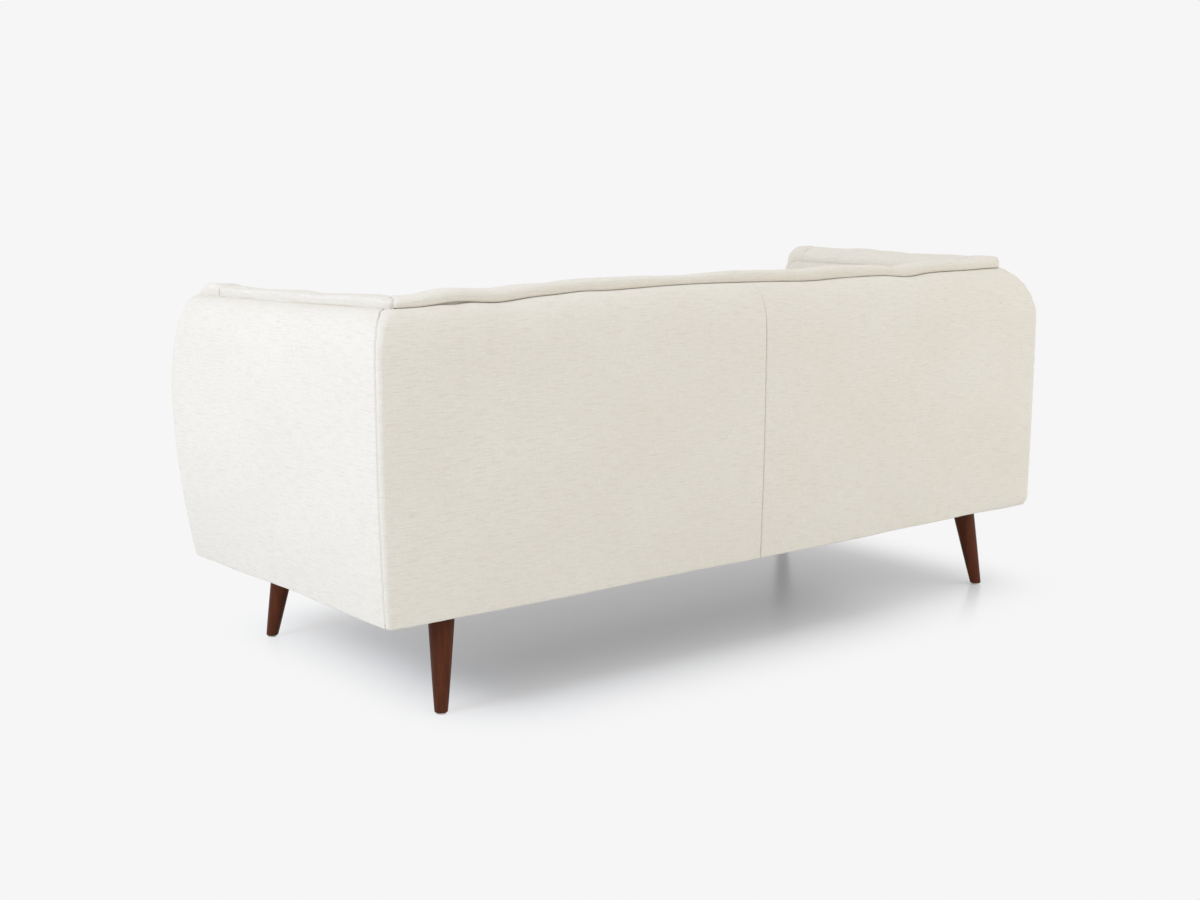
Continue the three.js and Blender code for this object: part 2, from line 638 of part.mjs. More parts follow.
function spring(place) {
  const from = FRONT_RAIL_IN + CLIP + 2 * FIT;
  const to = BACK_RAIL_IN - CLIP - 2 * FIT;
  const count = Math.round((to - from) / SPRING_WAVE) * WAVE_STEPS;
  const swing = half(SPRING_WIDTH - SPRING_WIRE);
  const at = (step) => {
    const share = step / count;
    const x = place + swing * Math.cos((2 * Math.PI * step) / WAVE_STEPS);
    const rise = 4 * SPRING_ARCH * share * (1 - share);
    return new THREE.Vector3(x, mix(from, to, share), SPRING_LEVEL + rise);
  };
  const wire = [];
  for (let side = 0; side < WIRE_SIDES; side += 1) {
    const turn = (2 * Math.PI * side) / WIRE_SIDES;
    wire.push(new THREE.Vector2(Math.cos(turn), Math.sin(turn)).multiplyScalar(half(SPRING_WIRE)));
  }
  const sections = [];
  for (let step = 0; step <= count; step += 1) {
    const along = at(step + SLOPE_STEP).sub(at(step - SLOPE_STEP)).setZ(0).normalize();
    const across = new THREE.Vector3(along.y, -along.x, 0);
    const section = wire.map(({ x, y }) => at(step).addScaledVector(across, x).setZ(at(step).z + y));
    sections.push(section);
  }
  return loft(sections, wire);
}

function clipStrip(face, inward) {
  const level = SPRING_LEVEL + half(SPRING_WIRE) + FIT;
  const top = level + CLIP;
  const at = (depth, height) => new THREE.Vector2(face + inward * (FIT + depth), height);
  const outline = [
    at(0, top - CLIP_HEIGHT),
    at(CLIP, top - CLIP_HEIGHT),
    at(CLIP, level),
    at(CLIP + CLIP_LIP, level),
    at(CLIP + CLIP_LIP, top),
    at(0, top),
  ];
  const reach = SIDE_RAIL_IN - CLIP_HEIGHT;
  return drawnAlongX(outline, -reach, reach);
}

function deckCloth() {
  const low = [FIT - POST_IN, FRONT_RAIL_IN - DECK_MARGIN, RAIL_TOP + FIT];
  return bar(low, [POST_IN - FIT, UPRIGHT_IN - FIT, RAIL_TOP + FIT + DECK]);
}

// Back webbing, tacked to the tack rail and the rim rail.
function webbing() {
  const middle = WEB_PLACE_SHARE * REAR_HALF_LENGTH;
  const low = [middle - half(WEB_WIDTH), UPRIGHT_IN - FIT - WEB, TACK_HIGH - WEB_LAP];
  return bar(low, [middle + half(WEB_WIDTH), UPRIGHT_IN - FIT, RIM_START + WEB_LAP]);
}

for (let i = 0; i < SPRING_COUNT; i += 1) {
  const place = mix(-SIDE_RAIL_IN, SIDE_RAIL_IN, (i + half(1)) / SPRING_COUNT);
  add("seat_spring_" + (i + 1), spring(place), STEEL);
}
add("spring_clip_strip_front", toedBase(clipStrip(FRONT_RAIL_IN, 1)), STEEL);
add("spring_clip_strip_rear", toedBase(clipStrip(BACK_RAIL_IN, -1)), STEEL);
add("seat_deck_cloth", toedBase(deckCloth()), DUST_CLOTH);
addPair("back_webbing", splayed(webbing()), JUTE);

// Inside pads: boxed, with a roll that stands over the rim and hides the panels' edges. Their sections
// are measured out from the rim's edge.
const ROLL_TOP = RIM_HEIGHT + ROLL;
const ROLL_RADIUS = ROLL_BACK + ROLL_OVERHANG;
const ROLL_CENTRE = ROLL_TOP - ROLL_RADIUS;
const SEAT_TOP = PAD_BOTTOM + CUSHION;
const BACK_EDGE_LEVEL = ROLL_TOP - ROLL_DIP - PAD_EDGE;

function backDepth(height) {
  const share = (height - SEAT_TOP) / (BACK_EDGE_LEVEL - SEAT_TOP);
  return mix(BACK_SEAT_DEPTH, BACK_TOP_DEPTH, Math.min(1, Math.max(0, share)));
}

function padSection(behind, dip, depthAt) {
  const shoulder = RIM_HEIGHT - PANEL - SHOULDER;
  const points = [
    new THREE.Vector2(behind, PAD_BOTTOM),
    new THREE.Vector2(behind, shoulder),
    new THREE.Vector2(-SEAM, shoulder),
    new THREE.Vector2(-SEAM, RIM_HEIGHT + FIT),
  ];
  const start = Math.asin((RIM_HEIGHT + FIT - ROLL_CENTRE) / ROLL_RADIUS);
  for (let step = 0; step <= ROLL_STEPS; step += 1) {
    const turn = mix(start, half(Math.PI), step / ROLL_STEPS);
    const out = ROLL_RADIUS * Math.cos(turn) - ROLL_BACK;
    points.push(new THREE.Vector2(out, ROLL_CENTRE + ROLL_RADIUS * Math.sin(turn)));
  }
  const level = ROLL_TOP - dip - PAD_EDGE;
  for (let step = 0; step <= ROLL_STEPS; step += 1) {
    const turn = (step / ROLL_STEPS) * half(Math.PI);
    const out = PAD_EDGE * (1 - Math.sin(turn)) - depthAt(level);
    points.push(new THREE.Vector2(out, level + PAD_EDGE * Math.cos(turn)));
  }
  for (let row = 1; row <= PAD_ROWS; row += 1) {
    const height = mix(level, SEAT_TOP, row / PAD_ROWS);
    points.push(new THREE.Vector2(-depthAt(height), height));
  }
  points.push(new THREE.Vector2(-depthAt(PAD_BOTTOM), PAD_BOTTOM));
  return points;
}

// How full a pad's face is: 1 in the middle, 0 at its edges, below the seat's top and on its back.
function fullness(along, { x: out, y: height }, depth) {
  const rise = (height - SEAT_TOP) / (RIM_HEIGHT - SEAT_TOP);
  const upright = Math.max(0, 4 * rise * (1 - rise));
  return (1 - along ** 2) * upright * Math.min(1, Math.max(0, -out / depth));
}

// All that lies behind the right-hand mitre. It runs from the rim's corner to the pads' inner corner and
// beyond, and at half a right angle outside the rim.
function behindMitre(gap) {
  const heights = [PAD_BOTTOM - OVERRUN];
  for (let row = 0; row <= PAD_ROWS; row += 1) {
    heights.push(mix(SEAT_TOP, BACK_EDGE_LEVEL, row / PAD_ROWS));
  }
  heights.push(ROLL_TOP + OVERRUN);
  const far = -RIM_X - 2 * OVERRUN;
  const outlines = heights.map((height) => {
    const inner = RIM_Y - MITRE_SHARE * backDepth(height);
    return [
      new THREE.Vector2(RIM_X + OVERRUN + gap, RIM_Y + OVERRUN),
      new THREE.Vector2(RIM_X + gap, RIM_Y),
      new THREE.Vector2(RIM_X - MITRE_SHARE * ARM_DEPTH + gap, inner),
      new THREE.Vector2(far, inner),
      new THREE.Vector2(far, RIM_Y + OVERRUN),
    ];
  });
  const sections = outlines.map((outline, i) =>
    outline.map(({ x, y }) => new THREE.Vector3(x, y, heights[i])),
  );
  return loft(sections, outlines[0], outlines[outlines.length - 1]);
}

function insideBackPad() {
  const section = padSection(UPRIGHT_IN - WEB - 2 * FIT - RIM_Y, ROLL_DIP, backDepth);
  const sections = [];
  for (let station = 0; station <= BACK_STATIONS; station += 1) {
    const along = mix(-1, 1, station / BACK_STATIONS);
    const row = section.map((point) => {
      const swell = BACK_PAD_CROWN * fullness(along, point, backDepth(point.y));
      return new THREE.Vector3(along * (POST_IN - FIT), RIM_Y + point.x - swell, point.y);
    });
    sections.push(row);
  }
  const mitre = behindMitre(-MITRE);
  const pad = solidOf(loft(sections, section)).intersect(solidOf(mitre));
  return geometryOf(pad.intersect(solidOf(mirrored(mitre))));
}

const CAP_BACK = frontY(profileAt(RIM_HEIGHT)) + CAP_TOP_DEPTH;

function insideArmPad() {
  const section = padSection(POST_IN - FIT - RIM_X, 0, () => ARM_DEPTH);
  const sections = [];
  for (let station = 0; station <= ARM_STATIONS; station += 1) {
    const along = mix(-1, 1, station / ARM_STATIONS);
    const row = section.map((point) => {
      const face = Math.min(1, Math.max(0, -point.x / ARM_DEPTH));
      const slack = ARM_PAD_CROWN * (face - fullness(along, point, ARM_DEPTH));
      const y = mix(CAP_BACK + SEAM, UPRIGHT_IN - WEB, half(1 + along));
      return new THREE.Vector3(RIM_X + point.x + slack, y, point.y);
    });
    sections.push(row);
  }
  return cut(loft(sections, section), behindMitre(MITRE));
}

// The arm's front pad: a nose rounded on its inner and upper edges, standing on the floor side of the
// front rail and filling the end of the arm above it.

function capSection(x) {
  const inside = Math.max(0, NOSE_RADIUS - (x - CAP_IN));
  const recede = NOSE_RADIUS - Math.sqrt(NOSE_RADIUS ** 2 - inside ** 2);
  const edge = Math.max(0, PAD_EDGE - (x - CAP_IN));
  const over = Math.max(0, x - RIM_X + ROLL_BACK);
  const top =
    ROLL_TOP -
    (PAD_EDGE - Math.sqrt(PAD_EDGE ** 2 - edge ** 2)) -
    (ROLL_RADIUS - Math.sqrt(ROLL_RADIUS ** 2 - over ** 2));
  const level = top - NOSE_TOP_RADIUS;
  const frontAt = (height) => frontY(profileAt(height)) + recede;
  const points = [
    new THREE.Vector2(FRAME_FRONT - FIT, LEG_HEIGHT),
    new THREE.Vector2(FRAME_FRONT - FIT, PAD_BOTTOM),
    new THREE.Vector2(CAP_BACK, PAD_BOTTOM),
    new THREE.Vector2(CAP_BACK, top),
  ];
  for (let step = 0; step <= ROLL_STEPS; step += 1) {
    const turn = (step / ROLL_STEPS) * half(Math.PI);
    const y = frontAt(level) + NOSE_TOP_RADIUS * (1 - Math.sin(turn));
    points.push(new THREE.Vector2(y, level + NOSE_TOP_RADIUS * Math.cos(turn)));
  }
  for (let row = 1; row <= PAD_ROWS; row += 1) {
    const height = mix(level, LEG_HEIGHT, row / PAD_ROWS);
    points.push(new THREE.Vector2(frontAt(height), height));
  }
  return points;
}

function armFrontPad() {
  const places = [];
  for (let step = 0; step <= ROLL_STEPS; step += 1) {
    const turn = (step / ROLL_STEPS) * half(Math.PI);
    places.push(CAP_IN + NOSE_RADIUS * (1 - Math.cos(turn)));
  }
  places.push(RIM_X - ROLL_BACK, RIM_X - half(ROLL_BACK), RIM_X - FIT);
  const outlines = places.map(capSection);
  const sections = outlines.map((outline, i) =>
    outline.map(({ x: y, y: z }) => new THREE.Vector3(places[i], y, z)),
  );
  return loft(sections, outlines[0], outlines[outlines.length - 1]);
}

// The padded cover of the front rail, between the arms.
function railCover() {
  const shape = new THREE.Shape();
  const back = FRAME_FRONT - FIT;
  const top = RAIL_TOP + DECK;
  shape.moveTo(back, LEG_HEIGHT);
  shape.lineTo(back, top);
  shape.lineTo(back - COVER + COVER_ROUND, top);
  shape.quadraticCurveTo(back - COVER, top, back - COVER, top - COVER_ROUND);
  shape.lineTo(back - COVER, LEG_HEIGHT);
  const reach = CAP_IN - SEAM;
  return drawnAlongX(shape.getPoints(ROLL_STEPS), -reach, reach);
}

add("inside_back_pad", splayed(insideBackPad()), IVORY);
addPair("inside_arm_pad", splayed(insideArmPad()), IVORY);
addPair("arm_front_pad", splayed(armFrontPad()), IVORY);
add("front_rail_cover", splayed(railCover()), IVORY);

// A boxed seat cushion: crowned on top, its sides swelling between the seams and drawn in along them.
function cushionOutline(low, high, draw, share) {
  const middle = new THREE.Vector2().addVectors(low, high).multiplyScalar(half(1));
  const points = [];
  const corners = [
    [high.x, high.y, 0],
    [low.x, high.y, 1],
    [low.x, low.y, 2],
    [high.x, low.y, 3],
  ];
  corners.forEach(([x, y, quarter], i) => {
    const towards = new THREE.Vector2(Math.sign(middle.x - x), Math.sign(middle.y - y));
    const centre = new THREE.Vector2(x, y).addScaledVector(towards, CUSHION_CORNER);
    for (let step = 0; step <= CUSHION_CORNER_STEPS; step += 1) {
      const turn = (quarter + step / CUSHION_CORNER_STEPS) * half(Math.PI);
      const out = new THREE.Vector2(Math.cos(turn), Math.sin(turn));
      points.push(centre.clone().addScaledVector(out, CUSHION_CORNER));
    }
    const [nextX, nextY] = corners[(i + 1) % corners.length];
    const from = points[points.length - 1];
    const along = new THREE.Vector2(nextX - x, nextY - y);
    const span = along.length() - 2 * CUSHION_CORNER;
    const inward = new THREE.Vector2(-along.y, along.x).normalize();
    for (let step = 1; step < CUSHION_SIDE_STEPS; step += 1) {
      const part = step / CUSHION_SIDE_STEPS;
      const point = from.clone().addScaledVector(along.clone().normalize(), span * part);
      points.push(point.addScaledVector(inward, draw * 4 * part * (1 - part)));
    }
  });
  return points.map((point) => point.sub(middle).multiplyScalar(share).add(middle));
}

function seatCushion() {
  const front = FRAME_FRONT - FIT - COVER - CUSHION_OVERHANG;
  const low = new THREE.Vector2(half(LIFT), front);
  const high = new THREE.Vector2(INNER_HALF - LIFT, RIM_Y - BACK_SEAT_DEPTH - LIFT);
  const outlines = [];
  const sections = [];
  const lay = (inset, draw, share, height) => {
    const near = low.clone().addScalar(inset);
    const outline = cushionOutline(near, high.clone().subScalar(inset), draw, share);
    outlines.push(outline);
    sections.push(outline.map(({ x, y }) => new THREE.Vector3(x, y, PAD_BOTTOM + height)));
  };
  for (let step = 0; step <= CUSHION_CORNER_STEPS; step += 1) {
    const rise = step / CUSHION_CORNER_STEPS;
    const slack = 1 - 4 * rise * (1 - rise);
    lay(CUSHION_BULGE * slack, CUSHION_DRAW * slack, 1, CUSHION * rise);
  }
  for (let step = 1; step <= CUSHION_CROWN_STEPS; step += 1) {
    const share = 1 - step / (CUSHION_CROWN_STEPS + 1);
    lay(CUSHION_BULGE, CUSHION_DRAW, share, CUSHION + CUSHION_CROWN * (1 - share ** 2));
  }
  return loft(sections, outlines[0], outlines[outlines.length - 1]);
}

addPair("seat_cushion", toed(seatCushion()), IVORY);

export default sofa;
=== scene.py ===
# A two-seat shelter sofa seen from behind: ivory cloth over a hardwood frame, on four turned legs.
# Metres, +Z up, the back towards +Y and the seat open towards -Y.
import json
import math

import bpy
import numpy as np
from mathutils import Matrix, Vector
from mathutils.geometry import delaunay_2d_cdt

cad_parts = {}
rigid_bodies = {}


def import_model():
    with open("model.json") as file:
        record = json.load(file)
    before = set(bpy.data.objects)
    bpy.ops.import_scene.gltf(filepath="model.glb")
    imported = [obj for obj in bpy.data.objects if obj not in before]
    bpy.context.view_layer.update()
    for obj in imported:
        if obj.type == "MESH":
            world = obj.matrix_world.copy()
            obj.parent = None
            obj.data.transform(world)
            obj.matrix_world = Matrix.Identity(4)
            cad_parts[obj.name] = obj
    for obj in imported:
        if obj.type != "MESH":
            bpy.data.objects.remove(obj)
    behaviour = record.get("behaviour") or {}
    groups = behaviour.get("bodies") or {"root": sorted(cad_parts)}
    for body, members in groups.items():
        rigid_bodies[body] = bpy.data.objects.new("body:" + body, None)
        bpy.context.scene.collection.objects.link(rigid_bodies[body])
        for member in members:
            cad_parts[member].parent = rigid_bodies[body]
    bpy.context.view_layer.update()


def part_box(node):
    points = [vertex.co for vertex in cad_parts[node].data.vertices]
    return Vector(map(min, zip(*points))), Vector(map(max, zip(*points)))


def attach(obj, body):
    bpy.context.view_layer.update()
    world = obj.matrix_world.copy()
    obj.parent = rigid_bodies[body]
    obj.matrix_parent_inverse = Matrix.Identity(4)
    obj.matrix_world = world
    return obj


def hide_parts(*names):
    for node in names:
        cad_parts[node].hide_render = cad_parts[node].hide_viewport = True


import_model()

# Camera: at the photograph's place, behind the sofa and off its right-hand arm, and looking down a
# little from about a metre above the floor.
def placed(name, data):
    """A thing in the scene, made from its mesh, lamp or camera."""
    thing = bpy.data.objects.new(name, data)
    bpy.context.scene.collection.objects.link(thing)
    return thing


eye = placed("camera", bpy.data.cameras.new("camera"))
bpy.context.scene.camera = eye
eye.location = (2.5555, 3.0377, 1.0676)
eye.data.sensor_width = 36
eye.data.lens = 49.71
turned_to, tilted_by = math.radians(218.80), math.radians(-9.70)
looks_along = Vector((
    math.sin(turned_to) * math.cos(tilted_by),
    math.cos(turned_to) * math.cos(tilted_by),
    math.sin(tilted_by),
))
eye.rotation_euler = looks_along.to_track_quat("-Z", "Y").to_euler()
eye.data.clip_start, eye.data.clip_end = 0.05, 60

# Frame: rails, posts, a stretcher and corner blocks of beech, planed, glued and screwed, and left bare
# under the cloth. Each keeps its own solid and takes the timber's finish.
BEECH_PALE, BEECH_DARK = (205, 172, 130), (176, 140, 98)


def fed(tree, node, inputs):
    """Each socket of a node set to a value, or fed by another node."""
    for socket, value in dict(inputs).items():
        if isinstance(value, bpy.types.NodeSocket):
            tree.links.new(value, node.inputs[socket])
        else:
            node.inputs[socket].default_value = value
    return node


def part(tree, kind, inputs=(), **settings):
    """One node of a finish, with its settings and what feeds it."""
    node = tree.nodes.new("ShaderNode" + kind)
    for name, value in settings.items():
        setattr(node, name, value)
    return fed(tree, node, inputs)


def new_finish(name):
    material = bpy.data.materials.new(name)
    material.use_nodes = True
    tree = material.node_tree
    return material, tree, tree.nodes["Principled BSDF"]


def written(red, green, blue):
    """A colour as a painter writes it, 0 to 255, for a shader's socket."""
    share = [value / 255 for value in (red, green, blue)]
    linear = [v / 12.92 if v <= 0.04045 else ((v + 0.055) / 1.055) ** 2.4 for v in share]
    return (*linear, 1)


def stretched(tree, place, across, along, third=1):
    node = part(tree, "VectorMath", {0: place, 1: (across, along, third)}, operation="MULTIPLY")
    return node.outputs[0]


def grain(tree, place, detail=2.0, rough=0.5):
    inputs = {"Vector": place, "Scale": 1.0, "Detail": detail, "Roughness": rough}
    return part(tree, "TexNoise", inputs).outputs["Fac"]


def ranged(tree, value, low, high, to_low=0.0, to_high=1.0):
    inputs = {"Value": value, "From Min": low, "From Max": high, "To Min": to_low, "To Max": to_high}
    return part(tree, "MapRange", inputs).outputs[0]


def mixed(tree, share, first, second):
    return part(tree, "Mix", {0: share, 6: first, 7: second}, data_type="RGBA").outputs[2]


def timber(name, pale, dark, scale, gloss):
    """Timber with its rings and finer grain drawn out upwards, bare or under lacquer."""
    material, tree, shader = new_finish(name)
    place = part(tree, "TexCoord").outputs["Object"]
    rings = grain(tree, stretched(tree, place, scale, scale, scale * 0.06), 4.0, 0.6)
    fine = grain(tree, stretched(tree, place, scale * 9, scale * 9, scale * 0.35))
    tone = mixed(tree, ranged(tree, rings, 0.3, 0.7), written(*dark), written(*pale))
    tone = mixed(tree, ranged(tree, fine, 0.45, 0.75, 0, 0.4), tone, written(*dark))
    fed(tree, shader, {
        "Base Color": tone, "Roughness": 0.62 - 0.3 * gloss, "Specular IOR Level": 0.10,
        "Coat Weight": 0.1 * gloss, "Coat Roughness": 0.25,
    })
    return material


def takes(finish, *names):
    """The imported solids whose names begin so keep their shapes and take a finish."""
    for solid in list(bpy.data.objects):
        if solid.type == "MESH" and solid.name.startswith(names):
            solid.data.materials.clear()
            solid.data.materials.append(finish)


takes(
    timber("beech", BEECH_PALE, BEECH_DARK, 34, 0.0),
    "seat_rail", "corner_post", "arm_front_post", "arm_rim_rail", "seat_stretcher", "back_rim_rail",
    "back_centre_post", "back_tack_rail", "corner_block",
)

# Springs and leg fixings: sinuous springs of zinc plated wire, held by clip strips on the rails, and
# the flanged nuts and double-ended bolts that hold the legs in their corner blocks.
def plain(name, colour, rough, metal=0.0):
    """A plain stuff with a slight unevenness of tone."""
    material, tree, shader = new_finish(name)
    place = part(tree, "TexCoord").outputs["Object"]
    speck = grain(tree, stretched(tree, place, 90, 90, 90), 3.0)
    darker = written(*[value * 0.9 for value in colour])
    tone = mixed(tree, ranged(tree, speck, 0.3, 0.7), darker, written(*colour))
    fed(tree, shader, {"Base Color": tone, "Roughness": rough, "Metallic": metal})
    return material


zinc_plate = plain("zinc plated steel", (188, 190, 192), 0.35, 1.0)
takes(zinc_plate, "spring_clip_strip", "seat_spring", "leg_nut", "leg_bolt")

# Glides and back webbing: a moulded nylon glide nailed under each foot, and jute tapes stretched and
# tacked across the back's frame behind the inside pad.
takes(plain("nylon", (214, 212, 206), 0.5), "glide")
takes(plain("jute webbing", (171, 143, 102), 0.95), "back_webbing")

# Outside back: two panels of ivory cloth over wadding and board, sewn down the middle. Each wraps a
# rear corner to the plain seam of the arm panel, rolls in at the rim under the inside pads, and is
# folded under the frame. The cloth is a heavy linen-like hopsack with slubs along the weft.
THREAD, CLOTH_THICK = 0.0034, 0.0016
IVORY, PALE_IVORY = (225, 219, 206), (228, 223, 211)
SLUB, RIB, FLECK = (206, 197, 180), (213, 205, 190), (241, 238, 229)


def figured(tree, how, *values):
    """A sum on values that change over the surface, such as ADD or SINE."""
    return part(tree, "Math", dict(enumerate(values)), operation=how).outputs[0]


def linen():
    """The weave lies on each piece's own lengths, in metres, which its mesh keeps as "weave"."""
    material, tree, shader = new_finish("ivory cloth")
    place = part(tree, "Attribute", attribute_name="weave").outputs["Vector"]
    slubs = ranged(tree, grain(tree, stretched(tree, place, 27, 300), 3.0), 0.50, 0.72)
    flecks = ranged(tree, grain(tree, stretched(tree, place, 80, 360), 1.0), 0.56, 0.72)
    ribs = ranged(tree, grain(tree, stretched(tree, place, 340, 44), 1.0), 0.40, 0.70)
    clouds = ranged(tree, grain(tree, stretched(tree, place, 3.2, 4.6), 3.0), 0.3, 0.7)
    tone = mixed(tree, clouds, written(*IVORY), written(*PALE_IVORY))
    for marks, share, colour in ((slubs, 0.36, SLUB), (ribs, 0.20, RIB), (flecks, 0.26, FLECK)):
        tone = mixed(tree, figured(tree, "MULTIPLY", marks, share), tone, written(*colour))
    turns = stretched(tree, place, 2 * math.pi / THREAD, 2 * math.pi / THREAD)
    axes = part(tree, "SeparateXYZ", {0: turns})
    warp, weft = (figured(tree, "SINE", axes.outputs[axis]) for axis in (0, 1))
    crossing = figured(tree, "MULTIPLY", warp, weft)
    fuzz = grain(tree, stretched(tree, place, 700, 700))
    height = figured(tree, "ADD", figured(tree, "MULTIPLY", crossing, 0.5), fuzz)
    height = figured(tree, "ADD", height, figured(tree, "MULTIPLY", slubs, 1.4))
    bump = part(tree, "Bump", {"Height": height, "Strength": 0.4, "Distance": 0.0006})
    fed(tree, shader, {
        "Base Color": tone, "Normal": bump.outputs[0], "Roughness": 0.93,
        "Specular IOR Level": 0.25, "Sheen Weight": 0.12, "Sheen Roughness": 0.6,
    })
    return material


ivory_cloth = linen()
SHELL_FOOT, WAIST, RIM_STARTS, RIM = 0.200, 0.600, 0.700, 0.812
UNDERSIDE = SHELL_FOOT + 0.0003
RIM_REACH, RIM_SQUARENESS, FOLD = 0.070, 2.4, 0.005
RIM_X, RIM_Y = 0.905, 0.365
TOE_OUT, TOE_OUT_FOOT, TOES_FROM, FRONT = 0.038, 0.010, 0.406, -0.444
SEAT_DECK = 0.2933
SIDES = {1: "right", -1: "left"}


def part_way(value, start, end):
    """0 before the start, 1 past the end, and in step between."""
    return np.clip((value - start) / (end - start), 0, 1)


def draws_in(height):
    return part_way(height, WAIST, SHELL_FOOT) ** 2


def quarter(count):
    """The angles of a quarter turn."""
    return np.linspace(0, math.pi / 2, count)


def shell_upright():
    """Out from the rim's edge, and height: under the frame, up the wall, over the rim, into the tuck."""
    step, fold = 0.0075, 0.004
    turn = quarter(6)
    under = [(RIM_REACH - inset, UNDERSIDE) for inset in (0.013, 0.008)]
    bend = [(RIM_REACH - fold + fold * math.sin(a), UNDERSIDE + fold * (1 - math.cos(a))) for a in turn]
    wall = [(RIM_REACH, z) for z in np.arange(SHELL_FOOT + fold + step, RIM_STARTS, step)]
    over = [(
        FOLD + (RIM_REACH - FOLD) * max(0, math.cos(a)) ** (2 / RIM_SQUARENESS),
        RIM_STARTS + (RIM - RIM_STARTS) * math.sin(a) ** (2 / RIM_SQUARENESS),
    ) for a in quarter(30)]
    tuck = [(FOLD - FOLD * math.sin(a), RIM - FOLD + FOLD * math.cos(a)) for a in turn[1:]]
    down = [(0, RIM - FOLD - 0.004), (0, RIM - FOLD - 0.009)]
    return np.array(under + bend + wall + over + tuck + down).T


def spaced(step, fine_start=True, fine_end=True):
    """Places along a run from 0 to 1, close together near its sewn ends."""
    by_seam = np.array([0, 0.0008, 0.0017, 0.0028, 0.0042, 0.006, 0.0085, 0.012, 0.0165])
    low = by_seam if fine_start else by_seam[:1]
    high = 1 - (by_seam[::-1] if fine_end else by_seam[:1])
    count = max(2, round((high[0] - low[-1]) / step))
    middle = np.linspace(low[-1], high[0], count + 1)[1:-1]
    return np.concatenate([low, middle, high])


def in_rows(x, y, height):
    """Places from their x and y, with one height for each row."""
    return np.stack([x, y, np.broadcast_to(height[:, None], x.shape)], -1)


def lengths(places):
    """How far each place lies along its own row, and along its own column, of the cloth."""
    both = []
    for axis in (1, 0):
        steps = np.linalg.norm(np.diff(places, axis=axis), axis=-1)
        start = np.zeros_like(np.take(steps, [0], axis=axis))
        both.append(np.cumsum(np.concatenate([start, steps], axis=axis), axis=axis))
    return both


def swept(value, start, end):
    """0 before the start, 1 past the end, and an even sweep between."""
    share = part_way(value, start, end)
    return share * share * (3 - 2 * share)


def fading(value, place, width):
    """1 at a place, fading to 0 on both sides of it."""
    return np.exp(-(((value - place) / width) ** 2))


def unevenness(across, up, seed, size, height):
    """Slow hollows and swells of the wadding, the same each time for one seed."""
    chance = np.random.default_rng(seed)
    waves, total = 8, np.zeros_like(across)
    for _ in range(waves):
        way, phase = chance.uniform(0, 2 * math.pi, 2)
        wave = size * chance.uniform(0.6, 1.9)
        lie = across * math.cos(way) + up * math.sin(way)
        total += np.sin(lie * 2 * math.pi / wave + phase)
    return height * total / waves


def wadding(across, up, seed, broad, narrow):
    """Broad swells with narrower, lower ones on them, each given as its size and height."""
    return unevenness(across, up, seed, *broad) + unevenness(across, up, seed + 1, *narrow)


def puckers(from_seam, along, seed, reach=0.022, height=0.0007):
    """Short gathers that run out from a seam."""
    chance = np.random.default_rng(seed)
    total = np.zeros_like(along)
    for _ in range(7):
        wave, phase = chance.uniform(0.011, 0.045), chance.uniform(0, 2 * math.pi)
        total += np.sin(along * 2 * math.pi / wave + phase)
    return height * total / 3 * fading(from_seam, 0, reach)


def groove(from_seam, depth, width):
    return -depth * fading(from_seam, 0, width)


def unit(ways):
    return ways / np.maximum(np.linalg.norm(ways, axis=-1, keepdims=True), 1e-12)


def raised(places, relief):
    """The cloth moved in or out, square to its own surface."""
    square = unit(np.cross(np.gradient(places, axis=0), np.gradient(places, axis=1)))
    return places + square * relief[..., None]


def stays_level(x, y):
    return 0 * x


def spread(places, falls=stays_level):
    """Toed out towards the front, and let down with the rim by what falls says."""
    x, y, z = np.moveaxis(places, -1, 0)
    share = np.clip((TOES_FROM - y) / (TOES_FROM - FRONT), 0, None)
    toe = (TOE_OUT + (TOE_OUT_FOOT - TOE_OUT) * draws_in(z)) * share
    lower = falls(x, y) * np.clip((z - SEAT_DECK) / (RIM - SEAT_DECK), 0, None)
    return np.stack([x * (1 + toe / RIM_X), y, z - lower], -1)


def meshed(name, places, faces):
    mesh = bpy.data.meshes.new(name)
    mesh.from_pydata(np.reshape(places, (-1, 3)).tolist(), [], faces)
    return mesh


def keeps(mesh, name, values):
    """The mesh keeps three numbers for each of its points."""
    layer = mesh.attributes.new(name, "FLOAT_VECTOR", "POINT")
    layer.data.foreach_set("vector", values.astype(np.float32).ravel())


def woven(mesh, across, up):
    """The mesh keeps how far each point lies along the cloth's threads."""
    keeps(mesh, "weave", np.stack([across, up, 0 * up], -1))


def made(name, mesh, finish, body):
    """A piece from its mesh, with its finish, on the body that it moves with."""
    mesh.polygons.foreach_set("use_smooth", [True] * len(mesh.polygons))
    mesh.materials.append(finish)
    piece = placed(name, mesh)
    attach(piece, body)
    return piece


def between(rows, columns):
    """The faces between rows and columns of places."""
    corner = np.arange(rows * columns).reshape(rows, columns)
    near, far = corner[:, :-1], corner[:, 1:]
    return np.stack([near[:-1], near[1:], far[1:], far[:-1]], -1).reshape(-1, 4)


def sewn(name, places, across, up, side=1):
    """A piece of ivory cloth from rows of places, mirrored for the left side."""
    faces = between(*places.shape[:2])
    if side < 0:
        places = places * (-1, 1, 1)
        faces = faces[:, ::-1]
    mesh = meshed(name, places, faces.tolist())
    woven(mesh, across, up)
    return made(name, mesh, ivory_cloth, "sofa")


def thickened(piece, thickness=CLOTH_THICK):
    """The cloth's own thickness, laid on its inner side."""
    solid = piece.modifiers.new("cloth thickness", "SOLIDIFY")
    solid.thickness = thickness
    solid.offset = -1
    return piece


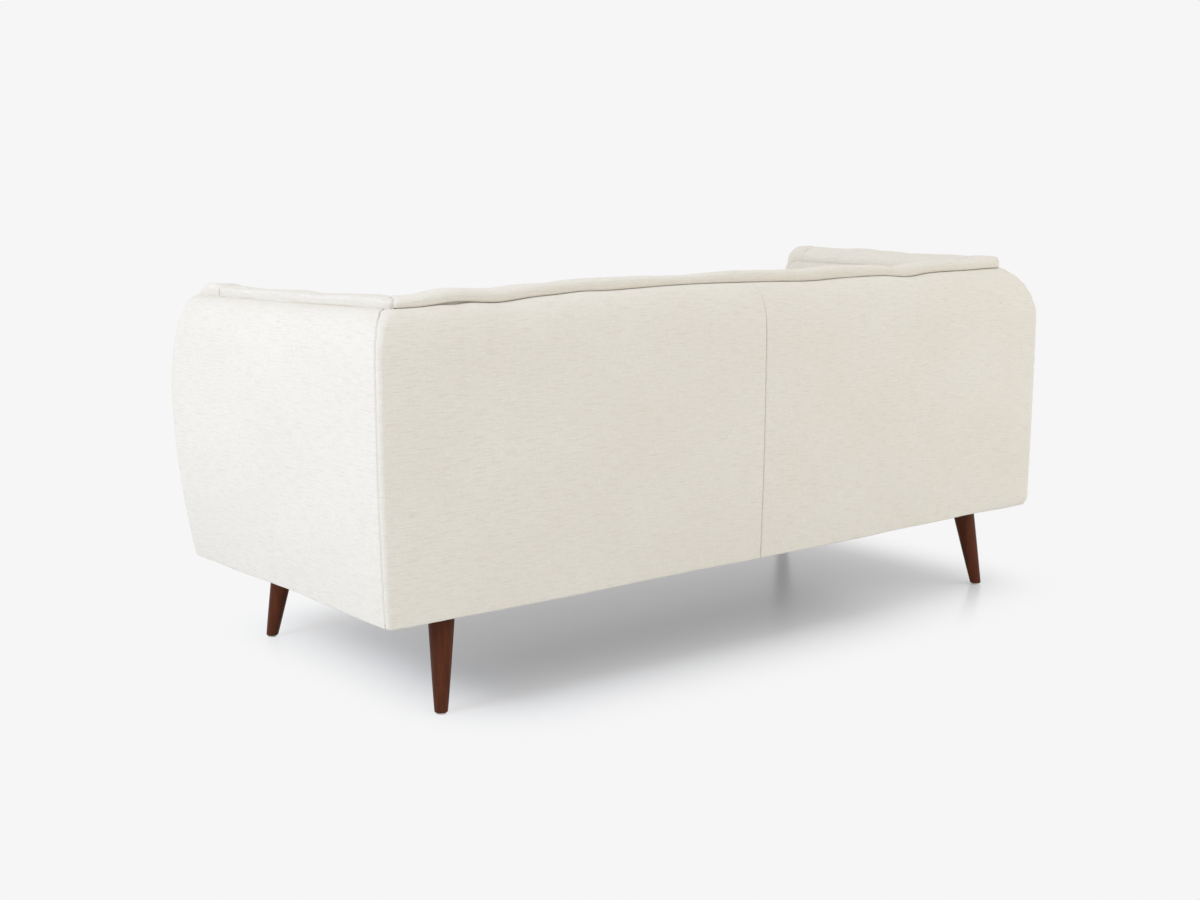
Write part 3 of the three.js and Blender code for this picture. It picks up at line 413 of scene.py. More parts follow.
# How far the rim lies below its level along the back, where the pads press it down: place, width, fall.
BACK_RIPPLES = [
    (0.87, 0.06, 0.004), (0.67, 0.07, 0.008), (0.18, 0.22, -0.006),
    (-0.54, 0.06, 0.007), (-0.20, 0.08, 0.003), (0.46, 0.05, -0.003),
]


def falls(x, y):
    """How far the rim lies below its level. The right arm's falls towards the front."""
    back = sum(down * fading(x, place, width) for place, width, down in BACK_RIPPLES)
    share = part_way(y, TOES_FROM, FRONT)
    right = 0.007 + 0.017 * share + 0.002 * np.sin(math.pi * share)
    left = 0.0018 + 0.0035 * fading(y, 0.13, 0.14) - 0.003 * swept(y, 0.25, 0.35)
    return back + swept(np.abs(x), 0.74, 0.88) * (np.where(x > 0, right, left) - back)


CORNER_ROUND, CORNER_ROUND_FOOT, CORNER_ROUND_RIM = 0.012, 0.009, 0.026
ARM_DRAW, BACK_DRAW, BACK_CROWN, BACK_EASE = 0.008, 0.004, 0.009, 0.015


def corner_round(out, height):
    in_wall = CORNER_ROUND + (CORNER_ROUND_FOOT - CORNER_ROUND) * draws_in(height)
    return in_wall + (CORNER_ROUND_RIM - in_wall) * (1 - np.clip(out / RIM_REACH, 0, 1))


def back_wall(out, height):
    """Where the back's wall stands at its corners, eased in from its fuller middle, and by how much."""
    ease = BACK_EASE * (1 - 0.27 * draws_in(height)) * np.clip(out / RIM_REACH, 0, 1)
    return RIM_Y + out - BACK_DRAW * draws_in(height) - ease, ease


def by_the_seam(relief, from_seam):
    """Two panels meet evenly at the seam between them."""
    return relief * swept(from_seam, 0, 0.05)


def below_rim(height):
    """The wadding's swells stop at the board's hard edge under the rim."""
    return (1 - swept(height, 0.785, 0.811))[:, None]


def corner_seam(from_seam, height, side):
    """The plain seam down a rear corner. Both its panels have the same gathers."""
    gathers = puckers(from_seam, height[:, None] + 0 * from_seam, 15 + side)
    return groove(from_seam, 0.0036, 0.0021) + gathers


def stuffing(side, out, height, from_corner):
    """The left rear corner is stuffed fuller at the wall, and flatter over the rim, than the right."""
    lift = np.clip((height - SHELL_FOOT) / 0.022, 0, 1)
    full = 0.014 * np.sqrt(1 - (1 - lift) ** 2) * (1 - swept(height, 0.69, 0.76))
    flat = 0.009 * swept(out, 0.006, 0.032) * (1 - swept(out, 0.052, 0.0699))
    return (side < 0) * (full - flat)[:, None] * fading(from_corner, 0, 0.13)


def outside_back(side, seed):
    half_seam, hem_height = 0.0004, 0.030
    out, height = shell_upright()
    draw = draws_in(height)
    round_by = corner_round(out, height)
    wall_x = RIM_X + out - ARM_DRAW * draw
    wall_y, ease = back_wall(out, height)
    run = spaced(0.008)
    turn = quarter(12)[1:]
    crown = BACK_CROWN * (1 - 0.5 * np.maximum(draw, 1 - out / RIM_REACH))
    straight = (wall_x - round_by)[:, None]
    x = np.concatenate([
        half_seam + run * (straight - half_seam),
        straight + round_by[:, None] * np.sin(turn),
    ], 1)
    y = np.concatenate([
        wall_y[:, None] + crown[:, None] * (1 - run**2) + ease[:, None] * (1 - run**4),
        wall_y[:, None] - round_by[:, None] * (1 - np.cos(turn)),
    ], 1)

    def lies_low(x, y):
        """A short gap opens under the roll near the right corner."""
        return falls(side * x, y) + 0.0044 * (side > 0) * fading(x, 0.770, 0.030)

    places = spread(in_rows(x, y, height), lies_low)
    across, up = lengths(places)
    to_corner = across[:, -1:] - across
    relief = wadding(across, up, seed, (0.28, 0.0020), (0.09, 0.0006))
    relief = by_the_seam(by_the_seam(relief, across), to_corner) * below_rim(height)
    fades = 1 - swept(height, 0.70, 0.79)[:, None]
    relief += fades * (groove(across, 0.0016, 0.0020) + puckers(across, up, 13, 0.03, 0.0004))
    relief += corner_seam(to_corner, height, side)
    from_hem = np.abs(up - hem_height)
    relief += puckers(from_hem, across, seed + 4, 0.02, 0.0003) + stuffing(side, out, height, to_corner)
    piece = sewn(f"outside_back_cover_{SIDES[side]}", raised(places, relief), across * side, up, side)
    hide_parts(f"outside_back_{SIDES[side]}")
    thickened(piece)


for side, seed in ((1, 11), (-1, 23)):
    outside_back(side, seed)

# Outside arms: one panel each, from the corner seam to the front, where it wraps round to the gap line
# of the arm's front pad and is hemmed.
FRONT_DRAW, FRONT_LEAN = 0.017, 0.062


def hemmed(places, across, up, last, corner):
    """A hem past the cloth's last column or its first, in a corner on the right (1) or the left (-1).

    It goes down into the roll, and behind the neighbouring pad's face.
    """
    width = 0.009
    edge, beside = (-1, -2) if last else (0, 1)
    outwards = unit(places[:, edge] - places[:, beside])
    square = unit(np.cross(np.gradient(places[:, edge], axis=0), outwards) * (1 if last else -1))
    inwards = unit(-square - square[:, [1, 0, 2]] * (corner, corner, 1))
    facing = np.clip(-square[:, [0]] - square[:, [1]], 0, 1)
    hem = places[:, edge] + width * (facing * outwards + (1 - 0.8 * facing) * inwards)
    grown = []
    added_to = (places, hem[:, None]), (across, across[:, [edge]] + width), (up, up[:, [edge]])
    for whole, added in added_to:
        grown.append(np.concatenate([whole, added] if last else [added, whole], 1))
    return grown


def arm_front(height):
    rise = np.clip((height - WAIST) / (RIM - WAIST), 0, None)
    return FRONT + FRONT_DRAW * draws_in(height) + FRONT_LEAN * rise**1.5


def outside_arm(side, seed):
    least = 0.0004
    out, height = shell_upright()
    wall_x = RIM_X + out - ARM_DRAW * draws_in(height)
    back = back_wall(out, height)[0] - corner_round(out, height) - 0.0008
    front = arm_front(height)
    round_by = np.maximum(wall_x - FOLD - RIM_X, least)
    run = spaced(0.010, fine_end=False)
    turn = quarter(15)[1:]
    start = (front + round_by)[:, None]
    y = [back[:, None] + run * (start - back[:, None]), start - round_by[:, None] * np.sin(turn)]
    x = [wall_x[:, None] + 0 * run, wall_x[:, None] - round_by[:, None] * (1 - np.cos(turn))]
    edge = np.minimum(FOLD, np.maximum(out, least))[:, None]
    bend = quarter(5)[1:]
    y.append(front[:, None] + edge * (1 - np.cos(bend)))
    x.append(RIM_X + edge * (1 - np.sin(bend)))
    y.append(front[:, None] + FOLD + np.array([[0.004, 0.009]]))
    x.append(np.full((len(front), 2), RIM_X))
    x, y = np.concatenate(x, 1), np.concatenate(y, 1)
    places = in_rows(x, y, height)
    along = (back[:, None] - y) / (back - front)[:, None]
    bow = 0.0038 * np.sin(math.pi * np.clip(along, 0, 1)) * fading(places[..., 2], SHELL_FOOT, 0.09)
    places[..., 2] += bow
    places = spread(places, lambda x, y: falls(side * x, y))
    across, up = lengths(places)
    relief = wadding(across, up, seed, (0.26, 0.0024), (0.08, 0.0006))
    relief = by_the_seam(relief, across) * below_rim(height)
    relief += corner_seam(across, height, side)
    relief += stuffing(side, out, height, across)
    places, across, up = hemmed(raised(places, relief), across, up, False, -1)
    piece = sewn(f"outside_arm_cover_{SIDES[side]}", places, across, up, side)
    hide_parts(f"outside_arm_{SIDES[side]}")
    thickened(piece)


for side, seed in ((1, 31), (-1, 43)):
    outside_arm(side, seed)

# Inside back pad: a boxed pad of cloth over foam and wadding, sewn into the shell. Its upper border
# stands over the rim as a soft roll that hides the panels' edges, and ends in a mitre seam at each
# rear corner.
ROLL, ROLL_OVERHANG, PAD_EDGE, BORDER = 0.028, 0.007, 0.022, 0.0328
BACK_TOP_DEPTH, BACK_SEAT_DEPTH, ARM_TOP_DEPTH = 0.112, 0.190, 0.073
ROLL_TOP, SEAT_TOP = RIM + ROLL, SEAT_DECK + 0.148
BORDER_SEAM = ROLL_TOP - BORDER
BORDER_DEPTH, BORDER_WIDTH = 0.0036, 0.0034
BACK_STANDS, RIGHT_STANDS, LEFT_STANDS = 0.88, 0.76, 1.04
BACK_PRESSED = [(0.33, 0.24, 0.12), (0.11, 0.11, 0.22)]
END_GAP = 0.0003


def back_depth(height):
    share = part_way(height, SEAT_TOP, ROLL_TOP - PAD_EDGE)
    return BACK_SEAT_DEPTH + (BACK_TOP_DEPTH - BACK_SEAT_DEPTH) * share


def arm_depth(height):
    return ARM_TOP_DEPTH


def pad_section(depth_at):
    """Out from the rim's edge, height, and share of the way over the top, for each row of a pad."""
    ball = ROLL / 2 - 0.0003
    inset = ball - ROLL_OVERHANG
    rows = [(-CLOTH_THICK, RIM - 0.020, 0), (-CLOTH_THICK, RIM - 0.008, 0)]
    for a in np.linspace(-1.42, math.pi / 2, 26):
        press = 0.38 if a < 0 else 1
        rows.append((ball * math.cos(a) ** press - inset,
                     ROLL_TOP - ball + ball * math.copysign(abs(math.sin(a)) ** press, a), 0))
    edge = depth_at(ROLL_TOP) - PAD_EDGE
    for share in np.linspace(0, 1, 15)[1:-1]:
        swell = 0.0035 * math.sin(math.pi * share)
        rows.append((-inset - share * (edge - inset), ROLL_TOP + swell, share))
    rows += [(-edge - PAD_EDGE * math.sin(a), ROLL_TOP - PAD_EDGE + PAD_EDGE * math.cos(a), 1)
             for a in quarter(9)]
    seam = BORDER_SEAM + np.array([9, 6, 4, 2.4, 1.2, 0, -1.2, -2.4, -4, -6.5, -10, -15]) / 1000
    face = np.concatenate([seam, np.linspace(seam[-1] - 0.007, SEAT_DECK + 0.004, 62)])
    rows += [(-depth_at(z), z, 1) for z in face]
    foot = depth_at(SEAT_DECK)
    rows += [(-foot + 0.003, SEAT_DECK, 1), (-foot + 0.05, SEAT_DECK, 1)]
    return np.array(rows).T


def fullness(along, height, share):
    """1 in the middle of a pad's face, 0 at its edges, below the seat's top and on its back."""
    rise = (height - SEAT_TOP) / (BORDER_SEAM - SEAT_TOP)
    upright = np.maximum(0, 4 * rise * (1 - rise))
    return (1 - along**2) * upright * share


def settled(places, share):
    """The pads' tops as one soft roll: flatter on the right arm, lower along the back's front edge."""
    x, y, z = np.moveaxis(places, -1, 0)
    on_arm = swept(np.abs(x), 0.80, 0.88)
    right = RIGHT_STANDS + 0.24 * swept(-y, 0.28, 0.31) * (1 - share) ** 2
    side = np.where(x > 0, right, LEFT_STANDS)
    waves = 0.05 * np.sin(x * 19 + 1) + 0.04 * np.sin(y * 23 + x * 3)
    pressed = sum(by * fading(x, place, width) for place, width, by in BACK_PRESSED)
    stands = BACK_STANDS + waves - pressed + (side - BACK_STANDS + pressed) * on_arm
    above = np.maximum(z - RIM, 0)
    dip = 0.010 * (1 - on_arm) * share**1.5 * part_way(z, SEAT_TOP, RIM)
    return np.stack([x, y, z - above + above * stands - dip], -1)


def tight(out, share):
    """Where the roll stands over the rim, it is drawn tighter to it by a share."""
    return np.where(out > 0, out * (1 - 0.45 * share), out)


def rounded(places):
    """The pads' outer corners, drawn round in plan to match the shell's rim."""
    x, y, z = np.moveaxis(places, -1, 0)
    beside = np.maximum(np.abs(x) - (RIM_X - CORNER_ROUND_RIM), 0)
    behind = np.maximum(y - (RIM_Y - CORNER_ROUND_RIM), 0)
    pull = 1 - np.maximum(beside, behind) / np.maximum(np.hypot(beside, behind), 1e-9)
    pull = np.where(np.maximum(beside, behind) > 0, pull, 0)
    return np.stack([x - np.sign(x) * beside * pull, y - behind * pull, z], -1)


def border_relief(across, up, height, share, seed):
    """The seam between a pad's border and its face, with the gathers that it pulls."""
    seam_row = np.argmax((share >= 1) & (np.abs(height - BORDER_SEAM) < 0.0003))
    from_seam = np.where(share[:, None] > 0, np.abs(up - up[seam_row]), 1)
    gathers = puckers(from_seam, across, seed, 0.018, 0.0010)
    return groove(from_seam, BORDER_DEPTH, BORDER_WIDTH) + gathers


def mitre_relief(from_end, up, share, side):
    """The mitre seam at a rear corner: deep over the top, shallow where two faces meet inside."""
    depth, seed = 0.0030 - 0.0020 * (share >= 1)[:, None], {1: 54, -1: 53}[side]
    return groove(from_end, depth, 0.0036) + puckers(from_end, up, seed, 0.02, 0.0008)


def only_shown(height, share):
    """No relief on the tucked-in stem, so that the pads stay behind the panels there."""
    return np.where(share > 0, 1, np.clip((height - RIM) / 0.004, 0, 1))[:, None]


def inside_back(seed):
    out, height, share = pad_section(back_depth)
    end = RIM_X + pad_section(arm_depth)[0][:, None] - END_GAP
    half_run = spaced(0.011, fine_start=False)
    along = np.concatenate([-half_run[::-1], half_run[1:]])
    y = RIM_Y + tight(out[:, None], swept(0.72 - np.abs(along), 0, 0.14))
    y = y + 0.5 * BACK_CROWN * (1 - along**2) * (1 - share[:, None])
    y = y - 0.012 * fullness(along, height[:, None], share[:, None])
    places = spread(settled(rounded(in_rows(along * end, y, height)), share[:, None]), falls)
    across, up = lengths(places)
    relief = wadding(across, up, seed, (0.16, 0.0024), (0.05, 0.0008))
    for side, from_end in ((-1, across), (1, across[:, -1:] - across)):
        relief = by_the_seam(relief, from_end) + mitre_relief(from_end, up, share, side)
    relief += border_relief(across, up, height, share, seed + 4)
    places = raised(places, relief * only_shown(height, share))
    for side in (1, -1):
        places, across, up = hemmed(places, across, up, side > 0, side)
    piece = sewn("inside_back_cover", places, across, up)
    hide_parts("inside_back_pad")
    thickened(piece)


inside_back(51)

# Inside arm pads: boxed like the back's, from the mitre seam at the rear to the front pad's seam. The
# right arm's roll is drawn in further over the rim, and its front seam pulled tighter.
CAP_BACK = FRONT + FRONT_LEAN + 0.085
ROLL_DRAWN_IN, FRONT_SEAM_DEPTH = {1: 1.5, -1: 1}, {1: 0.0026, -1: 0.0008}


def inside_arm(side, seed):
    out, height, share = pad_section(arm_depth)
    on_roll = (share == 0) & (height > RIM) & (height < ROLL_TOP - ROLL / 2)
    out = np.where(on_roll, ROLL_OVERHANG - 0.0004, out)
    rear = RIM_Y + pad_section(back_depth)[0][:, None] - END_GAP
    run = spaced(0.013)
    y = rear + run * (CAP_BACK - rear)
    swell = share[:, None] * swept(run, 0, 0.4) - fullness(2 * run - 1, height[:, None], share[:, None])
    x = RIM_X + tight(out[:, None], ROLL_DRAWN_IN[side] * swept(run, 0.03, 0.16)) + 0.005 * swell
    places = rounded(in_rows(x, y, height) * (side, 1, 1))
    places = spread(settled(places, share[:, None]), falls) * (side, 1, 1)
    across, up = lengths(places)
    to_front = across[:, -1:] - across
    relief = wadding(across, up, seed, (0.15, 0.0024), (0.05, 0.0008))
    relief = by_the_seam(relief, across) * swept(to_front, 0, 0.02)
    relief += mitre_relief(across, up, share, side)
    on_border = (height > BORDER_SEAM)[:, None]
    front_seam = groove(to_front, FRONT_SEAM_DEPTH[side], BORDER_WIDTH)
    relief += on_border * (front_seam + puckers(to_front, up, seed + 3, 0.015, 0.0004))
    relief += border_relief(across, up, height, share, seed + 4)
    places = raised(places, relief * only_shown(height, share))
    places, across, up = hemmed(places, across, up, False, 1)
    piece = sewn(f"inside_arm_cover_{SIDES[side]}", places, across, up, side)
    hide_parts(f"inside_arm_pad_{SIDES[side]}")
    thickened(piece)


for side, seed in ((1, 61), (-1, 73)):
    inside_arm(side, seed)

# Arm front pads: each fills the end of an arm, with a nose rounded at its inner and upper edges, and
# goes down beside the front rail to the frame's bottom. The pad's border turns down along the nose.
NOSE_ROUND, NOSE_TOP_ROUND = 0.050, 0.040
CAP_IN = RIM_X - ARM_TOP_DEPTH + 0.005
FRAME_FRONT = FRONT + FRONT_DRAW + 0.062
STANDS_OUT = {1: 0.33, -1: 0.55}


def nose_row(z, front, x_in, x_out):
    """One row round an arm's end, from its outer side over the front to its inner side."""
    outer = min(0.002 + 0.014 * swept(z, RIM - 0.004, RIM + 0.012), 0.3 * (x_out - x_in))
    nose = min(NOSE_ROUND, x_out - x_in - outer - 0.001)
    rear = FRAME_FRONT - 0.0006 if z < SEAT_DECK else CAP_BACK
    row = [(x_out, y) for y in np.linspace(rear, front + outer, 16)[:-1]]
    row += [(x_out - outer * (1 - math.cos(a)), front + outer * (1 - math.sin(a)))
            for a in quarter(9)]
    row += [(x, front) for x in np.linspace(x_out - outer, x_in + nose, 6)[1:]]
    row += [(x_in + nose * (1 - math.sin(a)), front + nose * (1 - math.cos(a)))
            for a in quarter(22)[1:]]
    row += [(x_in, y) for y in np.linspace(front + nose, max(rear, front + nose + 0.001), 22)[1:]]
    return [(x, y, z) for x, y in row]


def arm_front_pad(side, seed):
    level, full = ROLL_TOP - NOSE_TOP_ROUND, 0.0015
    turn = quarter(22)[1:]
    below = np.concatenate([
        [UNDERSIDE, UNDERSIDE],
        np.arange(UNDERSIDE + 0.004, SEAT_TOP, 0.007),
        np.arange(SEAT_TOP, level, 0.0035),
        [level],
    ])
    heights = np.concatenate([below, level + NOSE_TOP_ROUND * np.sin(turn)])
    turned_under = np.zeros(len(below))
    turned_under[:2] = 0.010, 0.003
    front_in = np.concatenate([turned_under, NOSE_TOP_ROUND * (1 - np.cos(turn))])
    over = np.clip((heights - (ROLL_TOP - PAD_EDGE)) / PAD_EDGE, 0, 1)
    inner_in = PAD_EDGE * (1 - np.sqrt(1 - over**2))
    ball = ROLL / 2
    roll = np.clip((heights - (ROLL_TOP - ball)) / ball, -1, 1)
    stands_out = STANDS_OUT[side] * ROLL_OVERHANG
    outer_in = 0.0010 - (0.0010 + stands_out) * swept(heights, RIM - 0.014, RIM)
    outer_in += ball * (1 - np.sqrt(1 - np.maximum(roll, 0)**2))
    front = arm_front(np.minimum(heights, level)) + front_in
    rows = np.array([nose_row(z, y, CAP_IN + in_by, RIM_X - out_by)
                     for z, y, in_by, out_by in zip(heights, front, inner_in, outer_in)])
    ridge = rows[-1].copy()
    ridge[:, 0] = (rows[-1][0, 0] + rows[-1][-1, 0]) / 2
    ridge[:, 1] = np.maximum(ridge[:, 1], front[-1] + 0.022)
    closing = [rows[-1] + (ridge - rows[-1]) * share + (0, 0, 0.0035 * math.sin(share * math.pi / 2))
               for share in (0.15, 0.35, 0.6, 0.8, 1)]
    places = np.concatenate([rows, closing])
    before = (front[:, None] + BORDER) - rows[..., 1]
    above = rows[..., 2] - BORDER_SEAM
    bend = 0.030
    past = np.hypot(np.maximum(before + bend, 0), np.maximum(above + bend, 0))
    from_seam = np.abs(past - bend + np.minimum(np.maximum(before + bend, above + bend), 0))
    inner_side = swept(np.arange(places.shape[1]), 34, 44)
    cap_share = np.clip((RIM_X - places[..., 0]) / ARM_TOP_DEPTH, 0, 1)
    places = spread(settled(places * (side, 1, 1), cap_share), falls) * (side, 1, 1)
    across, up = lengths(places)
    to_rear = np.minimum(across, across[:, -1:] - across)
    relief = (wadding(across, up, seed, (0.12, 0.0020), (0.04, 0.0006)) + full) * swept(to_rear, 0, 0.02)
    relief[: len(rows)] += inner_side * groove(from_seam, BORDER_DEPTH, BORDER_WIDTH)
    on_border = (places[..., 2] > BORDER_SEAM - 0.02) * 1.0
    relief += on_border * groove(to_rear, FRONT_SEAM_DEPTH[side], BORDER_WIDTH)
    relief[len(rows) - 1:] *= np.linspace(1, 0, len(closing) + 1)[:, None]
    piece = sewn(f"arm_front_cover_{SIDES[side]}", raised(places, relief), across, up, side)
    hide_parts(f"arm_front_pad_{SIDES[side]}")
    thickened(piece)


for side, seed in ((1, 81), (-1, 93)):
    arm_front_pad(side, seed)

# Front rail cover: a shallow padded strip of the cloth between the arm fronts, folded over the front
# rail's edge, and tacked on top of the rail up to the deck cloth.
def rail_cover(seed):
    back, thick, round_by, top, on_rail = FRAME_FRONT - 0.0004, 0.030, 0.014, 0.2924, 0.2918
    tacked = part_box("seat_deck_cloth")[0].y - 0.0006
    points = [(y, on_rail) for y in np.linspace(tacked, back + 0.004, 8)] + [(back - 0.008, top)]
    points += [(back - thick + round_by * (1 - math.sin(a)), top - round_by * (1 - math.cos(a)))
               for a in quarter(8)]
    points += [(back - thick, z) for z in np.linspace(top - round_by, SHELL_FOOT + 0.004, 13)[1:]]
    points += [(back - thick + 0.001, SHELL_FOOT + 0.0012), (back - thick + 0.004, UNDERSIDE)]
    points += [(back - 0.008, UNDERSIDE)]
    y, z = np.array(points).T
    x = np.linspace(-1, 1, 190)[None, :] * (CAP_IN - 0.0012)
    places = spread(np.stack(np.broadcast_arrays(x, y[:, None], z[:, None]), -1))
    across, up = lengths(places)
    relief = unevenness(across, up, seed, 0.14, 0.0014) * (z < top - 0.004)[:, None]
    piece = sewn("front_rail_fabric", raised(places, relief), across, up)
    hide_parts("front_rail_cover")
    thickened(piece)


rail_cover(101)

# Seat cushions: two loose boxed cushions of foam and fibre, filled until the faces crown. One bag is
# blown up as cloth inside its own seams, and the seams are drawn in after. The other is its mirror.
CUSHION_LOW, CUSHION_HIGH = np.array([0.007, -0.399, 0.2945]), np.array([0.823, 0.164, 0.4390])
CUSHION_MIDDLE, CUSHION_HALF = (CUSHION_LOW + CUSHION_HIGH) / 2, (CUSHION_HIGH - CUSHION_LOW) / 2
LEAST_CUSHION = (0.0016, -1, SEAT_DECK + 0.0003)
CUSHION_CORNER, CUSHION_EDGE = 0.036, 0.014
CUSHION_SEAM_DEPTH, CUSHION_SEAM_WIDTH = 0.0045, 0.0042
FILLING_FRAMES, MOST_SWELL = 20, np.array([0.008, 0.008, 0.022])


def drawn_in(ring, share):
    """A ring of the bag drawn towards its own middle."""
    core = np.array([*CUSHION_MIDDLE[:2], ring[0, 2]])
    return core + (ring - core) * (1 - share)


def cushion_bag():
    """The bag before it is filled: a box with rounded corners and edges, as rows of places."""
    edge = CUSHION_EDGE
    turn = quarter(6)
    low, high = CUSHION_LOW[2], CUSHION_HIGH[2]
    upright = [(edge * (1 - math.sin(a)), low + edge * (1 - math.cos(a))) for a in turn]
    upright += [(0, z) for z in np.linspace(low + edge, high - edge, 12)[1:-1]]
    upright += [(edge * (1 - math.cos(a)), high - edge + edge * math.sin(a)) for a in turn]
    outline, outward = [], []
    for quarters, corner in enumerate([(1, 1), (-1, 1), (-1, -1), (1, -1)]):
        core = CUSHION_MIDDLE[:2] + np.array(corner) * (CUSHION_HALF[:2] - CUSHION_CORNER)
        for a in quarter(8) + quarters * math.pi / 2:
            way = np.array([math.cos(a), math.sin(a)])
            outline.append(core + CUSHION_CORNER * way)
            outward.append(way)
    outline, outward = np.array(outline), np.array(outward)
    whole = [np.column_stack([outline - outward * by, np.full(len(outline), z)]) for by, z in upright]
    shares = [1.0, 0.85, 0.7, 0.55, 0.4, 0.25, 0.12]
    rows = [drawn_in(whole[0], share) for share in shares] + whole
    rows += [drawn_in(whole[-1], share) for share in shares[::-1]]
    return np.array(rows)


def joined_rings(rings, around):
    """Faces that join each ring of points to the next."""
    corner = np.arange(rings * around).reshape(rings, around)
    after = np.roll(corner, -1, axis=1)
    return np.stack([corner[:-1], after[:-1], after[1:], corner[1:]], -1).reshape(-1, 4).tolist()


def read_off(points, what):
    """Three numbers that a mesh holds for each of its points."""
    values = np.empty(len(points) * 3, np.float32)
    points.foreach_get(what, values)
    return values.reshape(-1, 3).astype(float)


def finished_mesh(piece):
    """The piece's mesh with its modifiers worked in."""
    shown = piece.evaluated_get(bpy.context.evaluated_depsgraph_get())
    mesh = bpy.data.meshes.new_from_object(shown)
    piece.modifiers.clear()
    piece.data = mesh
    return mesh


def filled_bag():
    """The bag after filling: places before and after, and the faces."""
    rows = cushion_bag()
    count, around = rows.shape[:2]
    first, last = range(around), range((count - 1) * around, count * around)
    faces = joined_rings(count, around) + [list(first)[::-1], list(last)]
    bag = placed("bag", meshed("bag", rows, faces))
    even = bag.modifiers.new("even", "REMESH")
    even.mode, even.voxel_size = "VOXEL", 0.0065
    before = read_off(finished_mesh(bag).vertices, "co")
    cloth = bag.modifiers.new("filling", "CLOTH").settings
    cloth.quality, cloth.mass = 6, 0.25
    cloth.tension_stiffness = cloth.compression_stiffness = cloth.shear_stiffness = 12
    cloth.bending_stiffness = 0.6
    cloth.use_pressure, cloth.uniform_pressure_force = True, 4
    cloth.effector_weights.gravity = 0
    for moment in range(1, FILLING_FRAMES + 1):
        bpy.context.scene.frame_set(moment)
    after = read_off(finished_mesh(bag).vertices, "co")
    bpy.context.scene.frame_set(1)
    after = before + MOST_SWELL * np.tanh((after - before) / MOST_SWELL)
    mesh = bag.data
    mesh.vertices.foreach_set("co", after.ravel())
    keeps(mesh, "before", before)
    finer = bag.modifiers.new("finer", "SUBSURF")
    finer.levels = 1
    mesh = finished_mesh(bag)
    before, after = read_off(mesh.attributes["before"].data, "vector"), read_off(mesh.vertices, "co")
    faces = [tuple(face.vertices) for face in mesh.polygons]
    bpy.data.objects.remove(bag)
    return before, after, faces


def seat_cushion(side, before, after, faces):
    x, y, z = before.T
    past = np.abs(before - CUSHION_MIDDLE)[:, :2] - (CUSHION_HALF[:2] - CUSHION_CORNER)
    inside = np.hypot(*np.maximum(past, 0).T) + np.minimum(past.max(1), 0) - CUSHION_CORNER
    upward = np.abs(z - CUSHION_MIDDLE[2])
    below_edge = CUSHION_HALF[2] - CUSHION_EDGE
    lifted, outer = np.clip(upward - below_edge, 0, None), np.clip(inside + CUSHION_EDGE, 0, None)
    angle = np.arctan2(lifted, np.maximum(outer, 1e-9))
    from_seam = CUSHION_EDGE * np.abs(angle - math.pi / 4)
    from_seam += np.clip(below_edge - upward, 0, None) + np.clip(-CUSHION_EDGE - inside, 0, None)
    on_face = angle > math.pi / 4
    on_front = past[:, 1] > past[:, 0]
    across, up = np.where(on_face | on_front, x, y), np.where(on_face, y, z)
    name, seed = f"seat_cushion_{SIDES[side]}", 120 + side
    mesh = meshed(f"{name}_cover", after, faces)
    relief = groove(from_seam, CUSHION_SEAM_DEPTH, CUSHION_SEAM_WIDTH)
    relief += puckers(from_seam, across + up, seed, 0.02, 0.0012)
    relief += unevenness(x, y + z, seed + 5, 0.24, 0.0030)
    places = after + read_off(mesh.vertices, "normal") * relief[:, None]
    places = spread(np.maximum(places, LEAST_CUSHION)) * (side, 1, 1)
    mesh.vertices.foreach_set("co", places.ravel())
    if side < 0:
        mesh.flip_normals()
    woven(mesh, across, up)
    piece = made(f"{name}_cover", mesh, ivory_cloth, f"{SIDES[side]}_cushion")
    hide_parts(name)


bag_parts = filled_bag()
for side in SIDES:
    seat_cushion(side, *bag_parts)

# Legs: turned walnut, widest at the top, raked outwards and finished in satin lacquer. Each is held by
# its bolt in the corner block above it.
walnut = timber("walnut", (104, 52, 28), (66, 33, 17), 60, 0.5)
FEET = {"front": (0.828, -0.319), "rear": (0.828, 0.387)}
SPLAY = {"front": (0.025, -0.032), "rear": (0.025, 0.032)}


def turned_leg(end, side):
    name = f"leg_{end}_{SIDES[side]}"
    (foot_x, foot_y), (splay_x, splay_y) = FEET[end], SPLAY[end]
    low, high, thin, thick, soft, around = 0.0034, 0.1972, 0.0136, 0.0274, 0.0022, 72
    turn = quarter(5)[1:]
    profile = [(0, low), (thin - soft, low)]
    profile += [(thin - soft + soft * math.sin(a), low + soft * (1 - math.cos(a))) for a in turn]
    profile += [(thin + (thick - thin) * up**0.92, low + soft + (high - low - 2 * soft) * up)
                for up in np.linspace(0, 1, 40)[1:]]
    profile += [(thick - soft + soft * math.cos(a), high - soft + soft * math.sin(a)) for a in turn]
    profile += [(0, high)]
    whole_turn = [2 * math.pi * i / around for i in range(around)]
    places = []
    for radius, z in profile:
        share = z / SHELL_FOOT
        x, y = side * (foot_x - splay_x * share), foot_y - splay_y * share
        places += [(x + radius * math.cos(a), y + radius * math.sin(a), z) for a in whole_turn]
    mesh = meshed(f"{name}_turned", places, joined_rings(len(profile), around))
    piece = made(f"{name}_turned", mesh, walnut, "sofa")
    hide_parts(name)


for end in FEET:
    for side in SIDES:
        turned_leg(end, side)

# Deck cloth: a plain black cloth drawn tight over the springs and tacked to the rails, seen when the
# cushions are lifted. It dips a little between the rails and shows the springs through.
BLACK, THREAD_BLACK, LINT = (38, 37, 36), (52, 50, 48), (64, 61, 57)
BLACK_CLOTH_THICK = 0.0006


